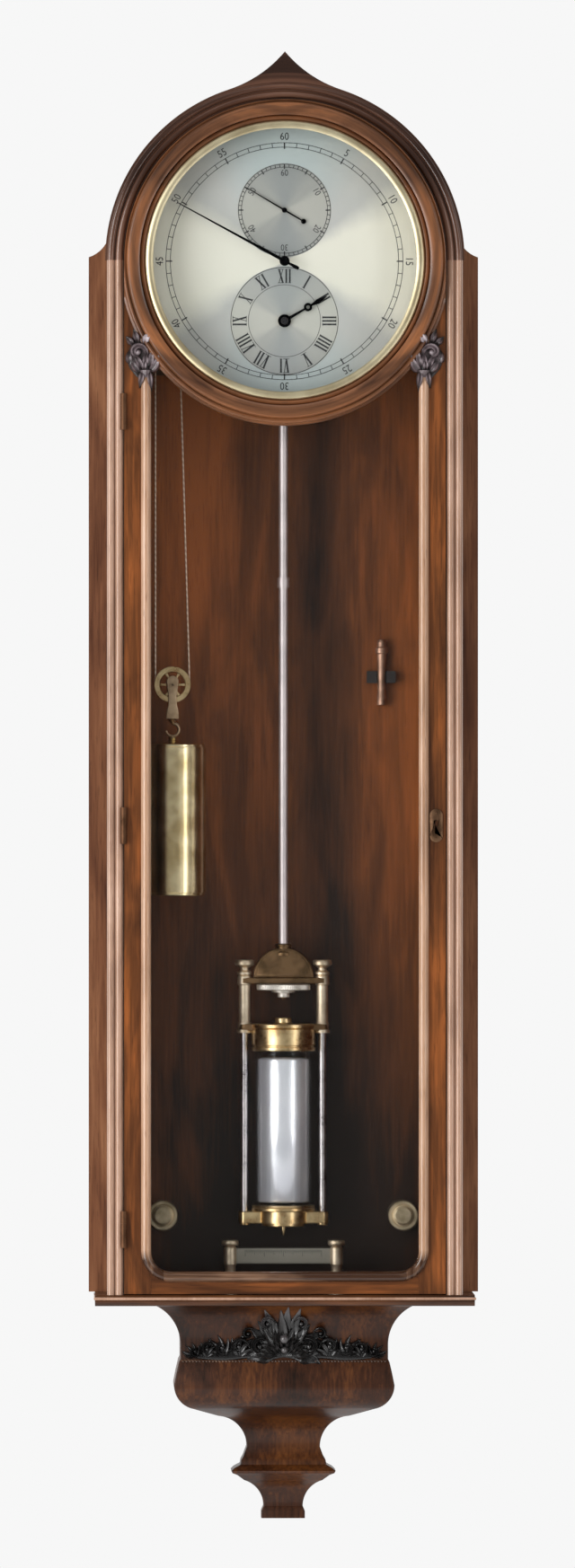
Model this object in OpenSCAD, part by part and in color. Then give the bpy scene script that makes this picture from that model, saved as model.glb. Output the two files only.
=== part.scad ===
// Wall regulator clock with an arched glazed case, mercury pendulum and one weight.
// Millimetres. The origin is the hanging bore at the wall, Z is up and the front faces -Y.
// Heights are measured from the dial's centre, and depths forward from the wall.

/* [Case] */
// Top of the backboard down to the hanging bore
hang_depth = 28; // [27:0.5:32]
// Dial's centre to the top of the base board
trunk_drop = 1025; // [1020:1:1100]
// Width over the two case sides
case_w = 352; // [348:1:380]
// Front edge of the sides back to the dial's face
dial_inset = 14; // [12:0.5:20]
// Thickness of the backboard
back_t = 16; // [12:1:20]
// Thickness of each side
side_t = 20; // [18:1:24]
// Thickness of the base board
base_t = 11; // [8:1:16]
// How far the base board stands out past the sides
base_lip = 12; // [6:1:18]
// How far the base board stands out in front of the sides
base_nose = 26; // [24:1:34]
// Width of each set-back flank board
flank_w = 18; // [12:1:24]
// Depth of each flank board
flank_d = 60; // [40:1:90]
// Radius of the hollow shoulder on top of a flank board
shoulder_r = 30; // [26:1:34]
// Radius of the two hollows that draw the arch up to its point
crest_r = 122; // [110:1:130]
// Direction from the dial's centre in which those hollows leave the arch
crest_turn = 71.8; // [70:0.1:73]

/* [Mouldings] */
// Width of the reeded strip on each side and round the arch
strip_w = 16; // [15:0.5:18]
// Thickness of the reeded strip
strip_t = 18; // [16:1:20]
// Radius of one reed
reed_r = 3.6; // [2.5:0.1:3.8]
// How far the arch moulding stands proud of the hood
arch_lip = 2; // [1:0.5:4]

/* [Door] */
// Thickness of the door
door_t = 20; // [18:1:24]
// Gap between the door and the strips
door_gap = 0.8; // [0.6:0.1:1.2]
// Width of each stile
stile_w = 26.7; // [24:0.1:30]
// Height of the bottom rail
rail_h = 22; // [18:1:30]
// Radius of the glass opening's lower corners
corner_r = 20; // [12:1:26]
// Width of the half-round glazing bead
bead_w = 10; // [6:0.5:12]
// Thickness of the trunk glass
pane_t = 3; // [2:0.5:4]
// Lap of the trunk glass behind its frame
pane_lap = 6; // [4:0.5:8]
// How far the ring's full circle reaches past the door gap
ring_lap = 4; // [2:0.5:6]
// Width of the wooden ring round the dial
ring_w = 25.6; // [24:0.2:27]
// How far the ring stands in front of the door's face
ring_proud = 12; // [8:1:16]
// Width of the brass bezel
bezel_w = 6.7; // [5.5:0.1:8]
// Thickness of the dial glass
lens_t = 2.5; // [2:0.5:3]
// Radius of a hinge knuckle
knuckle_r = 3.2; // [2.8:0.1:3.4]
// Length of one hinge knuckle
knuckle_l = 12; // [8:1:16]
// Radius of the hinge pin
hinge_pin_r = 1.2; // [1:0.1:1.5]
// Travel of the lock bolt
bolt_throw = 7; // [5:0.5:7]

/* [Base bracket] */
// Half width of the bracket under the case
bracket_top = 129; // [124:1:140]
// Half width of the bracket's neck
bracket_neck = 103.2; // [98:0.2:106]
// Half width of the cushion below the neck
bracket_cushion = 109.5; // [107:0.5:114]
// Half width of the stem
bracket_stem = 36.5; // [32:0.5:38]
// Half width of the collar on the stem
bracket_collar = 52; // [48:0.5:56]
// Half width of the foot
bracket_foot = 21.8; // [20:0.1:24]
// Height of the bracket
bracket_h = 216; // [214:1:230]
// How much deeper the bracket is than half its width
bracket_extra = 16; // [10:1:22]

/* [Dial and movement] */
// Lap of the dial plate behind its bezel
dial_lap = 10.3; // [8:0.1:11]
// Thickness of the dial plate
dial_t = 2; // [1.5:0.5:3]
// Front plate to the back of the dial
dial_stand = 11.5; // [11.5:0.5:14]
// Dial's centre to the seconds arbor
seconds_rise = 50.7; // [50:0.1:52]
// Dial's centre to the hour and winding arbor
hour_drop = 59.2; // [58.5:0.1:60]
// Case side to the edge of the movement plates
plate_inset = 70; // [66:1:72]
// Pallet arbor to the top edge of the plates
plate_rise = 12; // [8:1:14]
// Dial's centre to the bottom edge of the plates
plate_foot = 120; // [117:1:124]
// Thickness of each movement plate
plate_t = 3.5; // [3:0.5:4]
// Depth between the two plates
bay_d = 45.5; // [45.5:0.5:50]
// Minute hand's tip to the bezel
minute_gap = 9.7; // [5:0.1:40]
// Length of the seconds hand from its centre
seconds_l = 44; // [30:1:46]
// Length of the hour hand from its centre
hour_l = 49; // [35:1:50]
// Radius of the gut on the winding drum, at its middle
drum_r = 26; // [22:0.5:27]
// Radius of the gut line
gut_r = 0.8; // [0.6:0.1:1]

/* [Gearing] */
// Teeth of the great wheel
great_n = 144; // [144:1:144]
// Leaves of the centre, third and escape pinions
pinion_n = 12; // [12:1:12]
// Teeth of the centre wheel
centre_n = 96; // [96:1:96]
// Teeth of the third wheel
third_n = 90; // [90:1:90]
// Teeth of the escape wheel
escape_n = 30; // [30:1:30]
// Module of the centre wheel
centre_m = 0.65; // [0.64:0.01:0.67]
// Module of the third wheel
third_m = 0.6; // [0.59:0.01:0.62]
// Tip radius of the escape wheel
escape_r = 27; // [24:0.5:27]
// Escape arbor to the pallet arbor
pallet_rise = 59.3; // [57:0.1:61]

/* [Pendulum] */
// Gap between the jar's collar and the backboard
jar_gap = 10; // [8:0.5:14]
// Pendulum's plane to the back of the back plate
swing_gap = 12; // [11.5:0.5:13]
// Radius of the pendulum rod
rod_r = 4.5; // [3.5:0.1:5]
// Base board up to the top of the brass yoke
yoke_rise = 347; // [340:1:360]
// Half width of the yoke
yoke_half = 30; // [24:1:34]
// Height of the yoke
yoke_h = 34; // [30:1:38]
// Half distance between the two side rods
side_rod_x = 38.8; // [36:0.1:41]
// Radius of each steel side rod
side_rod_r = 3.6; // [3:0.1:4.5]
// Radius of the rating nut
rating_r = 26.7; // [20:0.1:28]
// Outer radius of the glass jar
jar_r = 28; // [24:0.5:29]
// Wall of the glass jar
jar_wall = 2.5; // [2:0.25:3]
// Height of the jar between its collar and base
jar_h = 154; // [140:1:160]
// Radius of the jar's brass collar
collar_r = 32; // [30:0.5:33]

/* [Weight] */
// Radius of the driving weight
weight_r = 33.5; // [28:0.5:36]
// Height of the driving weight
weight_h = 151; // [120:1:180]
// Gap between the weight and the case side
weight_gap = 12.5; // [10:0.5:14]
// Base board up to the weight's pulley
pulley_rise = 605; // [560:1:620]
// Outer radius of the weight's pulley
pulley_r = 18.2; // [17:0.1:19]

/* [Fittings] */
// Radius of the hanging bore
hang_r = 4.5; // [3.5:0.1:4.6]
// Base board up to the two steadying screws
steady_rise = 75; // [65:1:85]
// Case side to each steadying screw
steady_inset = 36; // [26:1:44]
// Radius of a steadying screw's head
steady_head_r = 15; // [12:0.5:17]
// Radius of a steadying screw's shank
steady_r = 4; // [3:0.5:5]
// Travel of a steadying screw
steady_throw = 7.5; // [5:0.5:7.5]
// Base board up to the winding key's clip
key_rise = 613; // [595:1:625]
// Case side to the winding key
key_inset = 57.4; // [52:0.2:60]

/* [Hidden] */
$fn = 64;

// Clearances
eps = 0.01;
seat_gap = 0.1;
soft_gap = 0.3;
run_gap = 0.05;

// Colours
walnut = "#6e3b1f";
dark_walnut = "#4a2414";
ring_wood = "#8a4a22";
ebony = "#1c1613";
brass = "#b08d45";
steel = "#9a9aa0";
silvered = "#c9ccc4";
blued = "#23262e";
gut = "#b79a6a";

// Depths from the wall: pendulum, plates, dial, then the case round them
swing_at = back_t + jar_gap + collar_r;
back_plate_at = swing_at + swing_gap;
plate_f = [back_plate_at, back_plate_at + plate_t];
front_plate_at = plate_f[1] + bay_d;
front_f = [front_plate_at, front_plate_at + plate_t];
dial_back = front_f[1] + dial_stand;
dial_face = dial_back + dial_t;
case_d = dial_face + dial_inset;

// Case
side_out = case_w / 2;
side_in = side_out - side_t;
dial_drop = side_out - hang_depth;
strip_in = side_out - strip_w;
strip_face = case_d + strip_t;
flank_out = side_out + flank_w;
base_half = side_out + base_lip;
base_front = case_d + base_nose;
arch_out = side_out + arch_lip;
reed_gap = 0.8;
reed_at = [strip_in + reed_r + reed_gap, side_out - reed_r];
yoke_drop = trunk_drop - yoke_rise;
pulley_drop = trunk_drop - pulley_rise;
steady_drop = trunk_drop - steady_rise;
steady_x = side_in - steady_inset;
key_drop = trunk_drop - key_rise;
key_x = side_in - key_inset;
weight_x = side_in - weight_r - weight_gap;

// Door
door_half = strip_in - door_gap;
door_rest = 0.4;
door_back = case_d + door_rest;
door_face = case_d + door_t;
door_foot = -trunk_drop + 1;
sight_half = door_half - stile_w;
sight_foot = door_foot + rail_h;
pane_half = sight_half + pane_lap;
pane_foot = sight_foot - pane_lap;
ring_r = strip_in + ring_lap;
pane_top_r = ring_r - pane_lap;
pane_at = door_back + 4;
ring_face = door_face + ring_proud;
bezel_r = ring_r - ring_w;
ring_in = bezel_r + seat_gap;
sight_r = bezel_r - bezel_w;
dial_r = sight_r + dial_lap;
lens_r = sight_r + 2;
lens_at = door_back + 10;
bezel_face = ring_face + 3;
hinge_at = [-(strip_in - door_gap / 2), door_face + knuckle_r + soft_gap];
lock_z = -(trunk_drop + 95) / 2;
hinge_heights = [-150, lock_z, -trunk_drop + 65];
leaf_t = 1.2;
leaf_w = 14;
web_t = 0.5;
bolt_h = 14;
bolt_f = [door_back + 8, door_back + 14];
bolt_in = door_half - 18;
bead_x = sight_half + bead_w / 2;
bead_top = -sqrt(ring_r * ring_r - bead_x * bead_x) - 2.6 * bead_w;

// Dial and movement
plate_half = side_in - plate_inset;
minute_l = sight_r - minute_gap;
centre_at = [0, 0];
escape_at = [0, seconds_rise];
winding_at = [0, -hour_drop];
pivot_z = seconds_rise + pallet_rise;
// The plates' upper corners stay inside the hood
plate_top = min(pivot_z + plate_rise, sqrt(pow(side_in - 2, 2) - pow(plate_half, 2)));
centre_third = centre_m * (centre_n + pinion_n) / 2;
third_escape = third_m * (third_n + pinion_n) / 2;
third_z = (seconds_rise * seconds_rise + centre_third * centre_third
           - third_escape * third_escape) / (2 * seconds_rise);
third_at = [sqrt(centre_third * centre_third - third_z * third_z), third_z];
great_m = 2 * hour_drop / (great_n + pinion_n);
cannon_n = 20;
minute_n = 60;
minute_pinion_n = 15;
hour_n = 60;
cannon_m = 0.8;
hour_m = 0.9;
cannon_minute = cannon_m * (cannon_n + minute_n) / 2;
minute_hour = hour_m * (minute_pinion_n + hour_n) / 2;
minute_z = -(hour_drop * hour_drop + cannon_minute * cannon_minute
             - minute_hour * minute_hour) / (2 * hour_drop);
minute_at = [sqrt(cannon_minute * cannon_minute - minute_z * minute_z), minute_z];
// Each wheel's depth behind the dial, as its back and front face
great_f = [back_plate_at + 10, back_plate_at + 13];
drum_f = [back_plate_at + 14, back_plate_at + 36];
gut_at = back_plate_at + 25;
centre_f = [back_plate_at + 40, back_plate_at + 42];
third_f = [back_plate_at + 20, back_plate_at + 22];
escape_f = [back_plate_at + 10, back_plate_at + 12];
cannon_f = [front_f[1] + 2, front_f[1] + 4];
hour_f = [front_f[1] + 6.5, front_f[1] + 8.5];
arbor_r = 2;
drum_arbor_r = 3.5;
cannon_r = 3.3;
hour_pipe_r = 6;
stud_r = 1.5;
arm_x = 46;
arm_t = 12;
pad_t = 4;
pad_reach = 13;
hour_pivot_r = drum_arbor_r + run_gap;
hour_hand_f = [dial_face + 2.5, dial_face + 3.5];
seconds_hand_f = [dial_face + 1.5, dial_face + 2.3];
minute_hand_f = [dial_face + 9, dial_face + 10];
// Where the hands point, anticlockwise from three o'clock
minute_turn = 151.4;
seconds_turn = 149.5;
hour_turn = 30.2;

// Gut line: drum, guide pulley, falls and the weight's pulley
guide_groove = 17.5;
guide_at = [-weight_x + 7 + guide_groove, -108];
groove_r = pulley_r - 1.2;
weight_pulley_at = [-weight_x - 0.8, -pulley_drop];
lead = guide_at - winding_at;
lead_l = norm(lead);
lead_u = lead / lead_l;
lead_v = [lead_u[1], -lead_u[0]];
lead_c = (drum_r - guide_groove) / lead_l;
lead_n = lead_c * lead_u + sqrt(1 - lead_c * lead_c) * lead_v;
hook_at = [weight_pulley_at[0] - groove_r, guide_at[1]];
weight_top = -pulley_drop - 59;

// Winding key in its clip
key_r = 4.5;
key_at = back_t + 7;

// Click and ratchet behind the great wheel
click_pin_r = 1.2;
ratchet_r = 20;
click_at = winding_at + [-great_n * great_m / 2 + 3, 0];
ratchet_f = [great_f[0] - 3, great_f[0] - 0.5];

// Pendulum
yoke_foot = -yoke_drop - yoke_h;
top_bar_z = [yoke_foot - 6, yoke_foot];
rating_z = [top_bar_z[0] - 8.8, top_bar_z[0] - 0.3];
mid_bar_z = [top_bar_z[0] - 47, top_bar_z[0] - 40];
jar_top = mid_bar_z[0] - 20;
jar_foot = jar_top - jar_h;
base_bar_z = [jar_foot - 18, jar_foot - 6];
bar_half = side_rod_x + 6;
bar_f = [swing_at - 7, swing_at + 7];
rod_screw_r = 3;

// Base bracket outline: half width and drop below the base board, in 54 steps of its height
function arc(c, r, a0, a1, n) =
    [for (i = [0:n]) c + r * [cos(a0 + (a1 - a0) * i / n), sin(a0 + (a1 - a0) * i / n)]];
step = bracket_h / 54;
cove_r = 11 * step;
cove_a = acos((bracket_neck + cove_r - bracket_top) / cove_r);
belly_r = 6.25 * step;
hollow_r = 8 * step;
torus_r = 1.75 * step;
waist_r = 7 * step;
waist_half = bracket_foot - 0.55 * step;
waist_a = acos((waist_half + waist_r - 9.75 * step) / waist_r);
stem_foot = bracket_stem + 0.875 * step;
bracket_side = concat(
    [[bracket_top, 0]],
    arc([bracket_neck + cove_r, 12 * step], cove_r, 180 + cove_a, 180, 8),
    [[bracket_neck, 14 * step], [bracket_cushion - 0.6 * step, 17 * step]],
    arc([bracket_cushion - belly_r, 20 * step], belly_r, 0, 76, 8),
    arc([bracket_stem + hollow_r, 36 * step], hollow_r, 264, 180, 8),
    [[stem_foot, 38.75 * step], [stem_foot, 39.5 * step]],
    arc([bracket_collar - torus_r, 41.5 * step], torus_r, -70, 60, 6),
    arc([waist_half + waist_r, 51 * step], waist_r, 180 + waist_a, 180, 6),
    [[bracket_foot, 52.25 * step], [bracket_foot, bracket_h]]);

// Places everything by the dial's centre
module at_dial() {
    translate([0, 0, -dial_drop]) children();
}

// Block between two corners, with its depth measured forward from the wall
module slab(x, f, z) {
    translate([x[0], -f[1], z[0]]) cube([x[1] - x[0], f[1] - f[0], z[1] - z[0]]);
}

// Flat plate with a front outline in X and Z
module plate(f) {
    translate([0, -f[0], 0]) rotate([90, 0, 0]) linear_extrude(f[1] - f[0]) children();
}

// Round rod that points at the wall
module rod_f(r, at, f) {
    translate([at[0], -f[0], at[1]]) rotate([90, 0, 0]) cylinder(r = r, h = f[1] - f[0]);
}

// Upright round rod
module rod_z(r, x, f, z) {
    translate([x, -f, z[0]]) cylinder(r = r, h = z[1] - z[0]);
}

// Round body about an axis that points at the wall, drawn as radius and depth
module turned(at) {
    translate([at[0], 0, at[1]]) rotate([90, 0, 0]) rotate_extrude($fn = 96) children();
}

module both_sides() {
    children();
    mirror([1, 0, 0]) children();
}

// Toothed wheel outline: straight flanks that narrow to the tip
function tooth(r, a) = [r * cos(a), r * sin(a)];
function gear_points(n, m, root, wide, slim, phase, rise) =
    [for (i = [0:n - 1])
        let (a = phase + 360 * i / n, p = 360 / n, r = n * m / 2)
        each [tooth(r - root * m, a - p * wide / 2 * 1.08), tooth(r, a - p * wide / 2),
              tooth(r + rise * m, a - p * slim / 2), tooth(r + rise * m, a + p * slim / 2),
              tooth(r, a + p * wide / 2), tooth(r - root * m, a + p * wide / 2 * 1.08)]];

module wheel_teeth(at, f, n, m, phase) {
    plate(f) translate(at) polygon(gear_points(n, m, 1.35, 0.40, 0.14, phase, 1));
}

module pinion_teeth(at, f, n, m, phase) {
    plate(f) translate(at) polygon(gear_points(n, m, 1.45, 0.34, 0.18, phase, 0.7));
}

// Cuts that leave a wheel with a rim, a hub and crossings
module crossings(at, f, rim, hub, arms, arm_w) {
    plate([f[0] - 1, f[1] + 1]) translate(at) difference() {
        circle(r = rim);
        circle(r = hub);
        for (i = [0:arms - 1]) rotate(i * 360 / arms) translate([0, -arm_w / 2]) square([rim + 1, arm_w]);
    }
}

module crossed_wheel(at, f, n, m, phase, arms) {
    difference() {
        wheel_teeth(at, f, n, m, phase);
        crossings(at, f, n * m / 2 - 4, 7, arms, 3);
    }
}

function bearing(from, to) = atan2(to[1] - from[1], to[0] - from[0]);

// Arch outline with its drawn-up point, above the dial's centre
module arch_outline(r) {
    spring = r * [cos(crest_turn), sin(crest_turn)];
    hollow = (r + crest_r) * [cos(crest_turn), sin(crest_turn)];
    tip = hollow[1] - sqrt(crest_r * crest_r - hollow[0] * hollow[0]);
    intersection() {
        translate([-r, 0]) square([2 * r, tip + 1]);
        union() {
            circle(r = r, $fn = 128);
            difference() {
                polygon([[-spring[0], spring[1] - 1], [spring[0], spring[1] - 1], spring, [0, tip + 1],
                         [-spring[0], spring[1]]]);
                translate(hollow) circle(r = crest_r, $fn = 128);
                translate([-hollow[0], hollow[1]]) circle(r = crest_r, $fn = 128);
            }
        }
    }
}

module backboard() {
    color(dark_walnut) difference() {
        at_dial() difference() {
            plate([0, back_t]) union() {
                circle(r = side_out, $fn = 128);
                translate([-side_out, -trunk_drop]) square([case_w, trunk_drop]);
            }
            both_sides() rod_f(steady_r + soft_gap, [steady_x, -steady_drop], [-1, back_t + 1]);
        }
        rod_f(hang_r, [0, 0], [-1, back_t + 1]);
    }
}

module case_sides() {
    color(walnut) at_dial() both_sides()
        slab([side_in, side_out], [back_t, case_d], [-trunk_drop, 0]);
}

module flank_boards() {
    color(walnut) at_dial() both_sides() plate([0, flank_d]) difference() {
        translate([strip_in, -trunk_drop]) square([flank_out - strip_in, trunk_drop + shoulder_r + 5]);
        translate([strip_in - 1, -trunk_drop - 1]) square([strip_w + 1, trunk_drop + 1]);
        circle(r = side_out + seat_gap, $fn = 128);
        translate([flank_out + shoulder_r * 0.3, shoulder_r + 5]) circle(r = shoulder_r);
    }
}

module reeded_strips() {
    color(walnut) at_dial() difference() {
        both_sides() union() {
            slab([strip_in, side_out], [case_d, strip_face], [-trunk_drop, 0]);
            for (x = reed_at) rod_z(reed_r, x, strip_face, [-trunk_drop, 0]);
        }
        slab([strip_in - 1, strip_in + bolt_throw + 2], bolt_f + [-soft_gap, soft_gap],
             [lock_z - bolt_h / 2 - soft_gap, lock_z + bolt_h / 2 + soft_gap]);
    }
}

module hood_shell() {
    color(dark_walnut) at_dial() plate([back_t, case_d]) difference() {
        arch_outline(side_out);
        circle(r = side_in, $fn = 128);
    }
}

module arch_moulding() {
    color(dark_walnut) at_dial() union() {
        plate([case_d, strip_face]) difference() {
            arch_outline(arch_out);
            circle(r = strip_in, $fn = 128);
        }
        for (r = reed_at)
            rotate([90, 0, 0]) rotate_extrude(angle = 180, $fn = 128)
                translate([r, strip_face]) circle(r = reed_r, $fn = 32);
    }
}

module base_board() {
    color(walnut) at_dial() union() {
        slab([-base_half, base_half], [0, base_front - base_t / 2], [-trunk_drop - base_t, -trunk_drop]);
        translate([-base_half, -base_front + base_t / 2, -trunk_drop - base_t / 2])
            rotate([0, 90, 0]) cylinder(r = base_t / 2, h = 2 * base_half);
    }
}

module bracket_solid(grow) {
    foot = -trunk_drop - base_t;
    side = [for (p = bracket_side) [p[0], foot - p[1]]];
    intersection() {
        plate([0, bracket_top + bracket_extra + 5])
            polygon(concat(side, [for (i = [len(side) - 1:-1:0]) [-side[i][0], side[i][1]]]));
        translate([-bracket_top - 5, 0, 0]) rotate([90, 0, 90]) linear_extrude(2 * bracket_top + 10)
            polygon(concat([[0, foot - bracket_h], [0, foot]],
                           [for (p = side) [-p[0] - bracket_extra - grow, p[1]]]));
    }
}

module bracket_body() {
    color(walnut) at_dial() bracket_solid(0);
}

// Carved foliage on the bracket's neck, with a bead line below it
module bracket_ornament() {
    low = -trunk_drop - base_t - 13.75 * step;
    face = bracket_neck + bracket_extra;
    carved = [face - 1, face + 1.25 * step];
    // Each leaf's place and radius in steps
    crest = [[0, 6.5, 3.5], [3.5, 5, 2.75], [6.75, 3.5, 2.5], [9.5, 2.25, 2.25],
             [12.5, 2, 2], [15.5, 2, 2], [18.25, 1.75, 1.75], [20.25, 1.5, 1.25]];
    color(ebony) at_dial() difference() {
        union() {
            plate(carved) both_leaves()
                for (c = crest * step) translate([c[0], low + c[1]]) circle(r = c[2]);
            plate(carved) translate([-20 * step, low + 1]) square([40 * step, 3 * step]);
            slab([-bracket_neck, bracket_neck], [face - 1, face + 2], [low - 0.75 * step, low]);
        }
        bracket_solid(seat_gap);
    }
}

module both_leaves() {
    children();
    mirror([1, 0]) children();
}

module hanger_plate() {
    plate_rise = [-12, 5.5];
    color(brass) difference() {
        slab([-20, 20], [back_t, back_t + 3], plate_rise);
        rod_f(hang_r, [0, 0], [back_t - 1, back_t + 4]);
    }
}

// Cast arm on the backboard with two ears that carry the suspension pin
module pendulum_cock() {
    ear_z = [pivot_z - 5, pivot_z + 16];
    pin_seat = hinge_pin_r + 0.3 + run_gap;
    color(brass) at_dial() difference() {
        union() {
            slab([-16, 16], [back_t, back_t + 4], [pivot_z - 14, pivot_z + 18]);
            slab([-9, 9], [back_t + 4, swing_at + 9], [pivot_z + 8, pivot_z + 16]);
            slab([-7, 7], [swing_at - 9, swing_at - 5], ear_z);
            slab([-7, 7], [swing_at + 5, swing_at + 9], ear_z);
        }
        rod_f(pin_seat, [0, pivot_z], [swing_at - 10, swing_at + 10]);
    }
}

// Two cast arms under the plates, each with a pad on the backboard
module movement_arms() {
    arm_z = [-plate_foot - arm_t, -plate_foot];
    color(brass) at_dial() both_sides() union() {
        slab([arm_x - arm_t / 2, arm_x + arm_t / 2], [back_t, front_f[1]], arm_z);
        slab([arm_x - 10, arm_x + 10], [back_t, back_t + pad_t], [arm_z[0] - pad_reach, arm_z[1] + pad_reach]);
    }
}

// Beat scale on two posts that stand on the base board
module beat_plate() {
    post_x = 53;
    post_r = 5.5;
    post_h = 46;
    cap_r = 8.5;
    cap_h = 5;
    foot_h = 4;
    scale_z = [-trunk_drop + 28, -trunk_drop + 43];
    color(silvered) at_dial() union() {
        slab([-post_x, post_x], [swing_at - 1, swing_at + 1], scale_z);
        both_sides() union() {
            rod_z(post_r, post_x, swing_at, [-trunk_drop, -trunk_drop + post_h]);
            rod_z(cap_r, post_x, swing_at, [-trunk_drop + post_h, -trunk_drop + post_h + cap_h]);
            rod_z(cap_r, post_x, swing_at, [-trunk_drop, -trunk_drop + foot_h]);
        }
    }
}

module key_clip() {
    clip_h = 12;
    clip_f = [back_t, key_at + 4];
    slot_r = key_r + soft_gap;
    slot_z = [-key_drop - clip_h, -key_drop + clip_h];
    color(ebony) at_dial() difference() {
        slab([key_x - 15, key_x + 14], clip_f, [-key_drop - clip_h / 2, -key_drop + clip_h / 2]);
        rod_z(slot_r, key_x, key_at, slot_z);
        slab([key_x - slot_r, key_x + slot_r], [key_at, clip_f[1] + 1], slot_z);
    }
}

module winding_key() {
    color(brass) at_dial() union() {
        rod_z(key_r, key_x, key_at, [-key_drop - 28, -key_drop + 38]);
        rod_z(key_r + 1.5, key_x, key_at, [-key_drop + 24, -key_drop + 30]);
    }
}

module case_hinges() {
    color(brass) at_dial() for (z = hinge_heights) union() {
        rod_z(knuckle_r, hinge_at[0], hinge_at[1], [z - knuckle_l / 2, z + knuckle_l / 2]);
        rod_z(hinge_pin_r, hinge_at[0], hinge_at[1],
              [z - knuckle_l * 1.5 - soft_gap, z + knuckle_l * 1.5 + soft_gap]);
        slab([-strip_in, -strip_in + web_t], [case_d + 1, hinge_at[1]],
             [z - knuckle_l / 2, z + knuckle_l / 2]);
    }
}

// Door leaves, let into the door's edge so that only the knuckles show
module door_hinges() {
    color(brass) at_dial() for (z = hinge_heights) difference() {
        union() {
            for (s = [-1, 1]) union() {
                inner = z + s * (knuckle_l / 2 + soft_gap);
                outer = z + s * knuckle_l * 1.5;
                span = [min(inner, outer), max(inner, outer)];
                rod_z(knuckle_r, hinge_at[0], hinge_at[1], span);
                slab([-door_half, -door_half + leaf_t], [door_face, hinge_at[1]], span);
            }
            slab([-door_half, -door_half + leaf_t], [door_face - leaf_w, door_face],
                 [z - knuckle_l * 1.5, z + knuckle_l * 1.5]);
        }
        rod_z(hinge_pin_r + run_gap, hinge_at[0], hinge_at[1], [z - knuckle_l * 2, z + knuckle_l * 2]);
    }
}

// Screw heads for the hanger, cock and movement arms
module case_screws() {
    color(steel) at_dial() both_sides() union() {
        rod_f(2.5, [14, dial_drop - 4], [back_t + 3, back_t + 4.5]);
        rod_f(2.5, [12, pivot_z - 9], [back_t + 4, back_t + 5.5]);
        for (z = [-plate_foot + pad_reach / 2, -plate_foot - arm_t - pad_reach / 2])
            rod_f(3, [arm_x, z], [back_t + pad_t, back_t + pad_t + 2]);
    }
}

module dial_plate() {
    foot_x = plate_half - 8;
    foot_r = 3;
    color(silvered) at_dial() difference() {
        union() {
            rod_f(dial_r, centre_at, [dial_back, dial_face]);
            for (x = [-foot_x, foot_x], z = [-plate_foot + 15, plate_top - 17])
                rod_f(foot_r, [x, z], [front_f[1], dial_back]);
        }
        rod_f(cannon_r + soft_gap, centre_at, [dial_back - 1, dial_face + 1]);
        rod_f(arbor_r, escape_at, [dial_back - 1, dial_face + 1]);
        rod_f(hour_pipe_r + soft_gap, winding_at, [dial_back - 1, dial_face + 1]);
    }
}

// One movement plate with its pivot holes
module pierced_plate(f) {
    difference() {
        slab([-plate_half, plate_half], f, [-plate_foot, plate_top]);
        for (p = [centre_at, third_at, escape_at, [0, pivot_z]])
            rod_f(arbor_r + run_gap, p, [f[0] - 1, f[1] + 1]);
        rod_f(drum_arbor_r + run_gap, winding_at, [f[0] - 1, f[1] + 1]);
    }
}

module front_plate() {
    color(brass) at_dial() union() {
        pierced_plate(front_f);
        rod_f(stud_r, minute_at, [front_f[1], hour_f[1] + 1]);
    }
}

module back_plate() {
    // The lower pillars stand further in, clear of the guide pulley
    pillars = [[plate_half - 8, plate_top - 8], [-guide_at[0] - 27.5, -plate_foot + 8]];
    pillar_r = 4;
    shoulder = 3;
    color(brass) at_dial() union() {
        pierced_plate(plate_f);
        both_sides() for (at = pillars) union() {
            rod_f(pillar_r, at, [plate_f[1], front_f[0]]);
            rod_f(pillar_r + 2, at, [plate_f[1], plate_f[1] + shoulder]);
            rod_f(pillar_r + 2, at, [front_f[0] - shoulder, front_f[0]]);
        }
    }
}

// Plate that carries the guide pulley and the fixed end of the gut line
module guide_bracket() {
    arm_t = 3;
    hook_r = 2.4;
    color(brass) at_dial() union() {
        slab([hook_at[0] - 5, -plate_half + 12], [plate_f[1], plate_f[1] + arm_t],
             [guide_at[1] - 4, guide_at[1] + 8]);
        rod_f(arbor_r, guide_at, [plate_f[1] + arm_t, gut_at + 6]);
        rod_f(hook_r, hook_at + [0, hook_r], [plate_f[1] + arm_t, gut_at + 3]);
    }
}

// Grooved pulley round the gut's plane: rim radius, groove radius, hub radius and half hub length
module pulley(at, rim, groove, hub, half_hub) {
    floor_r = groove - gut_r - soft_gap;
    half_rim = 3;
    half_floor = 0.9;
    half = [[arbor_r + run_gap, half_hub], [hub, half_hub], [hub, half_rim], [rim, half_rim],
            [floor_r, half_floor]];
    turned(at) polygon(concat([for (p = half) [p[0], gut_at - p[1]]],
                              [for (i = [len(half) - 1:-1:0]) [half[i][0], gut_at + half[i][1]]]));
}

module guide_pulley() {
    color(brass) at_dial() difference() {
        pulley(guide_at, guide_groove + 1.5, guide_groove, 6, 4);
        for (a = [0:60:300]) rod_f(2.6, guide_at + 10.5 * [cos(a), sin(a)], [gut_at - 5, gut_at + 5]);
    }
}

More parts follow.
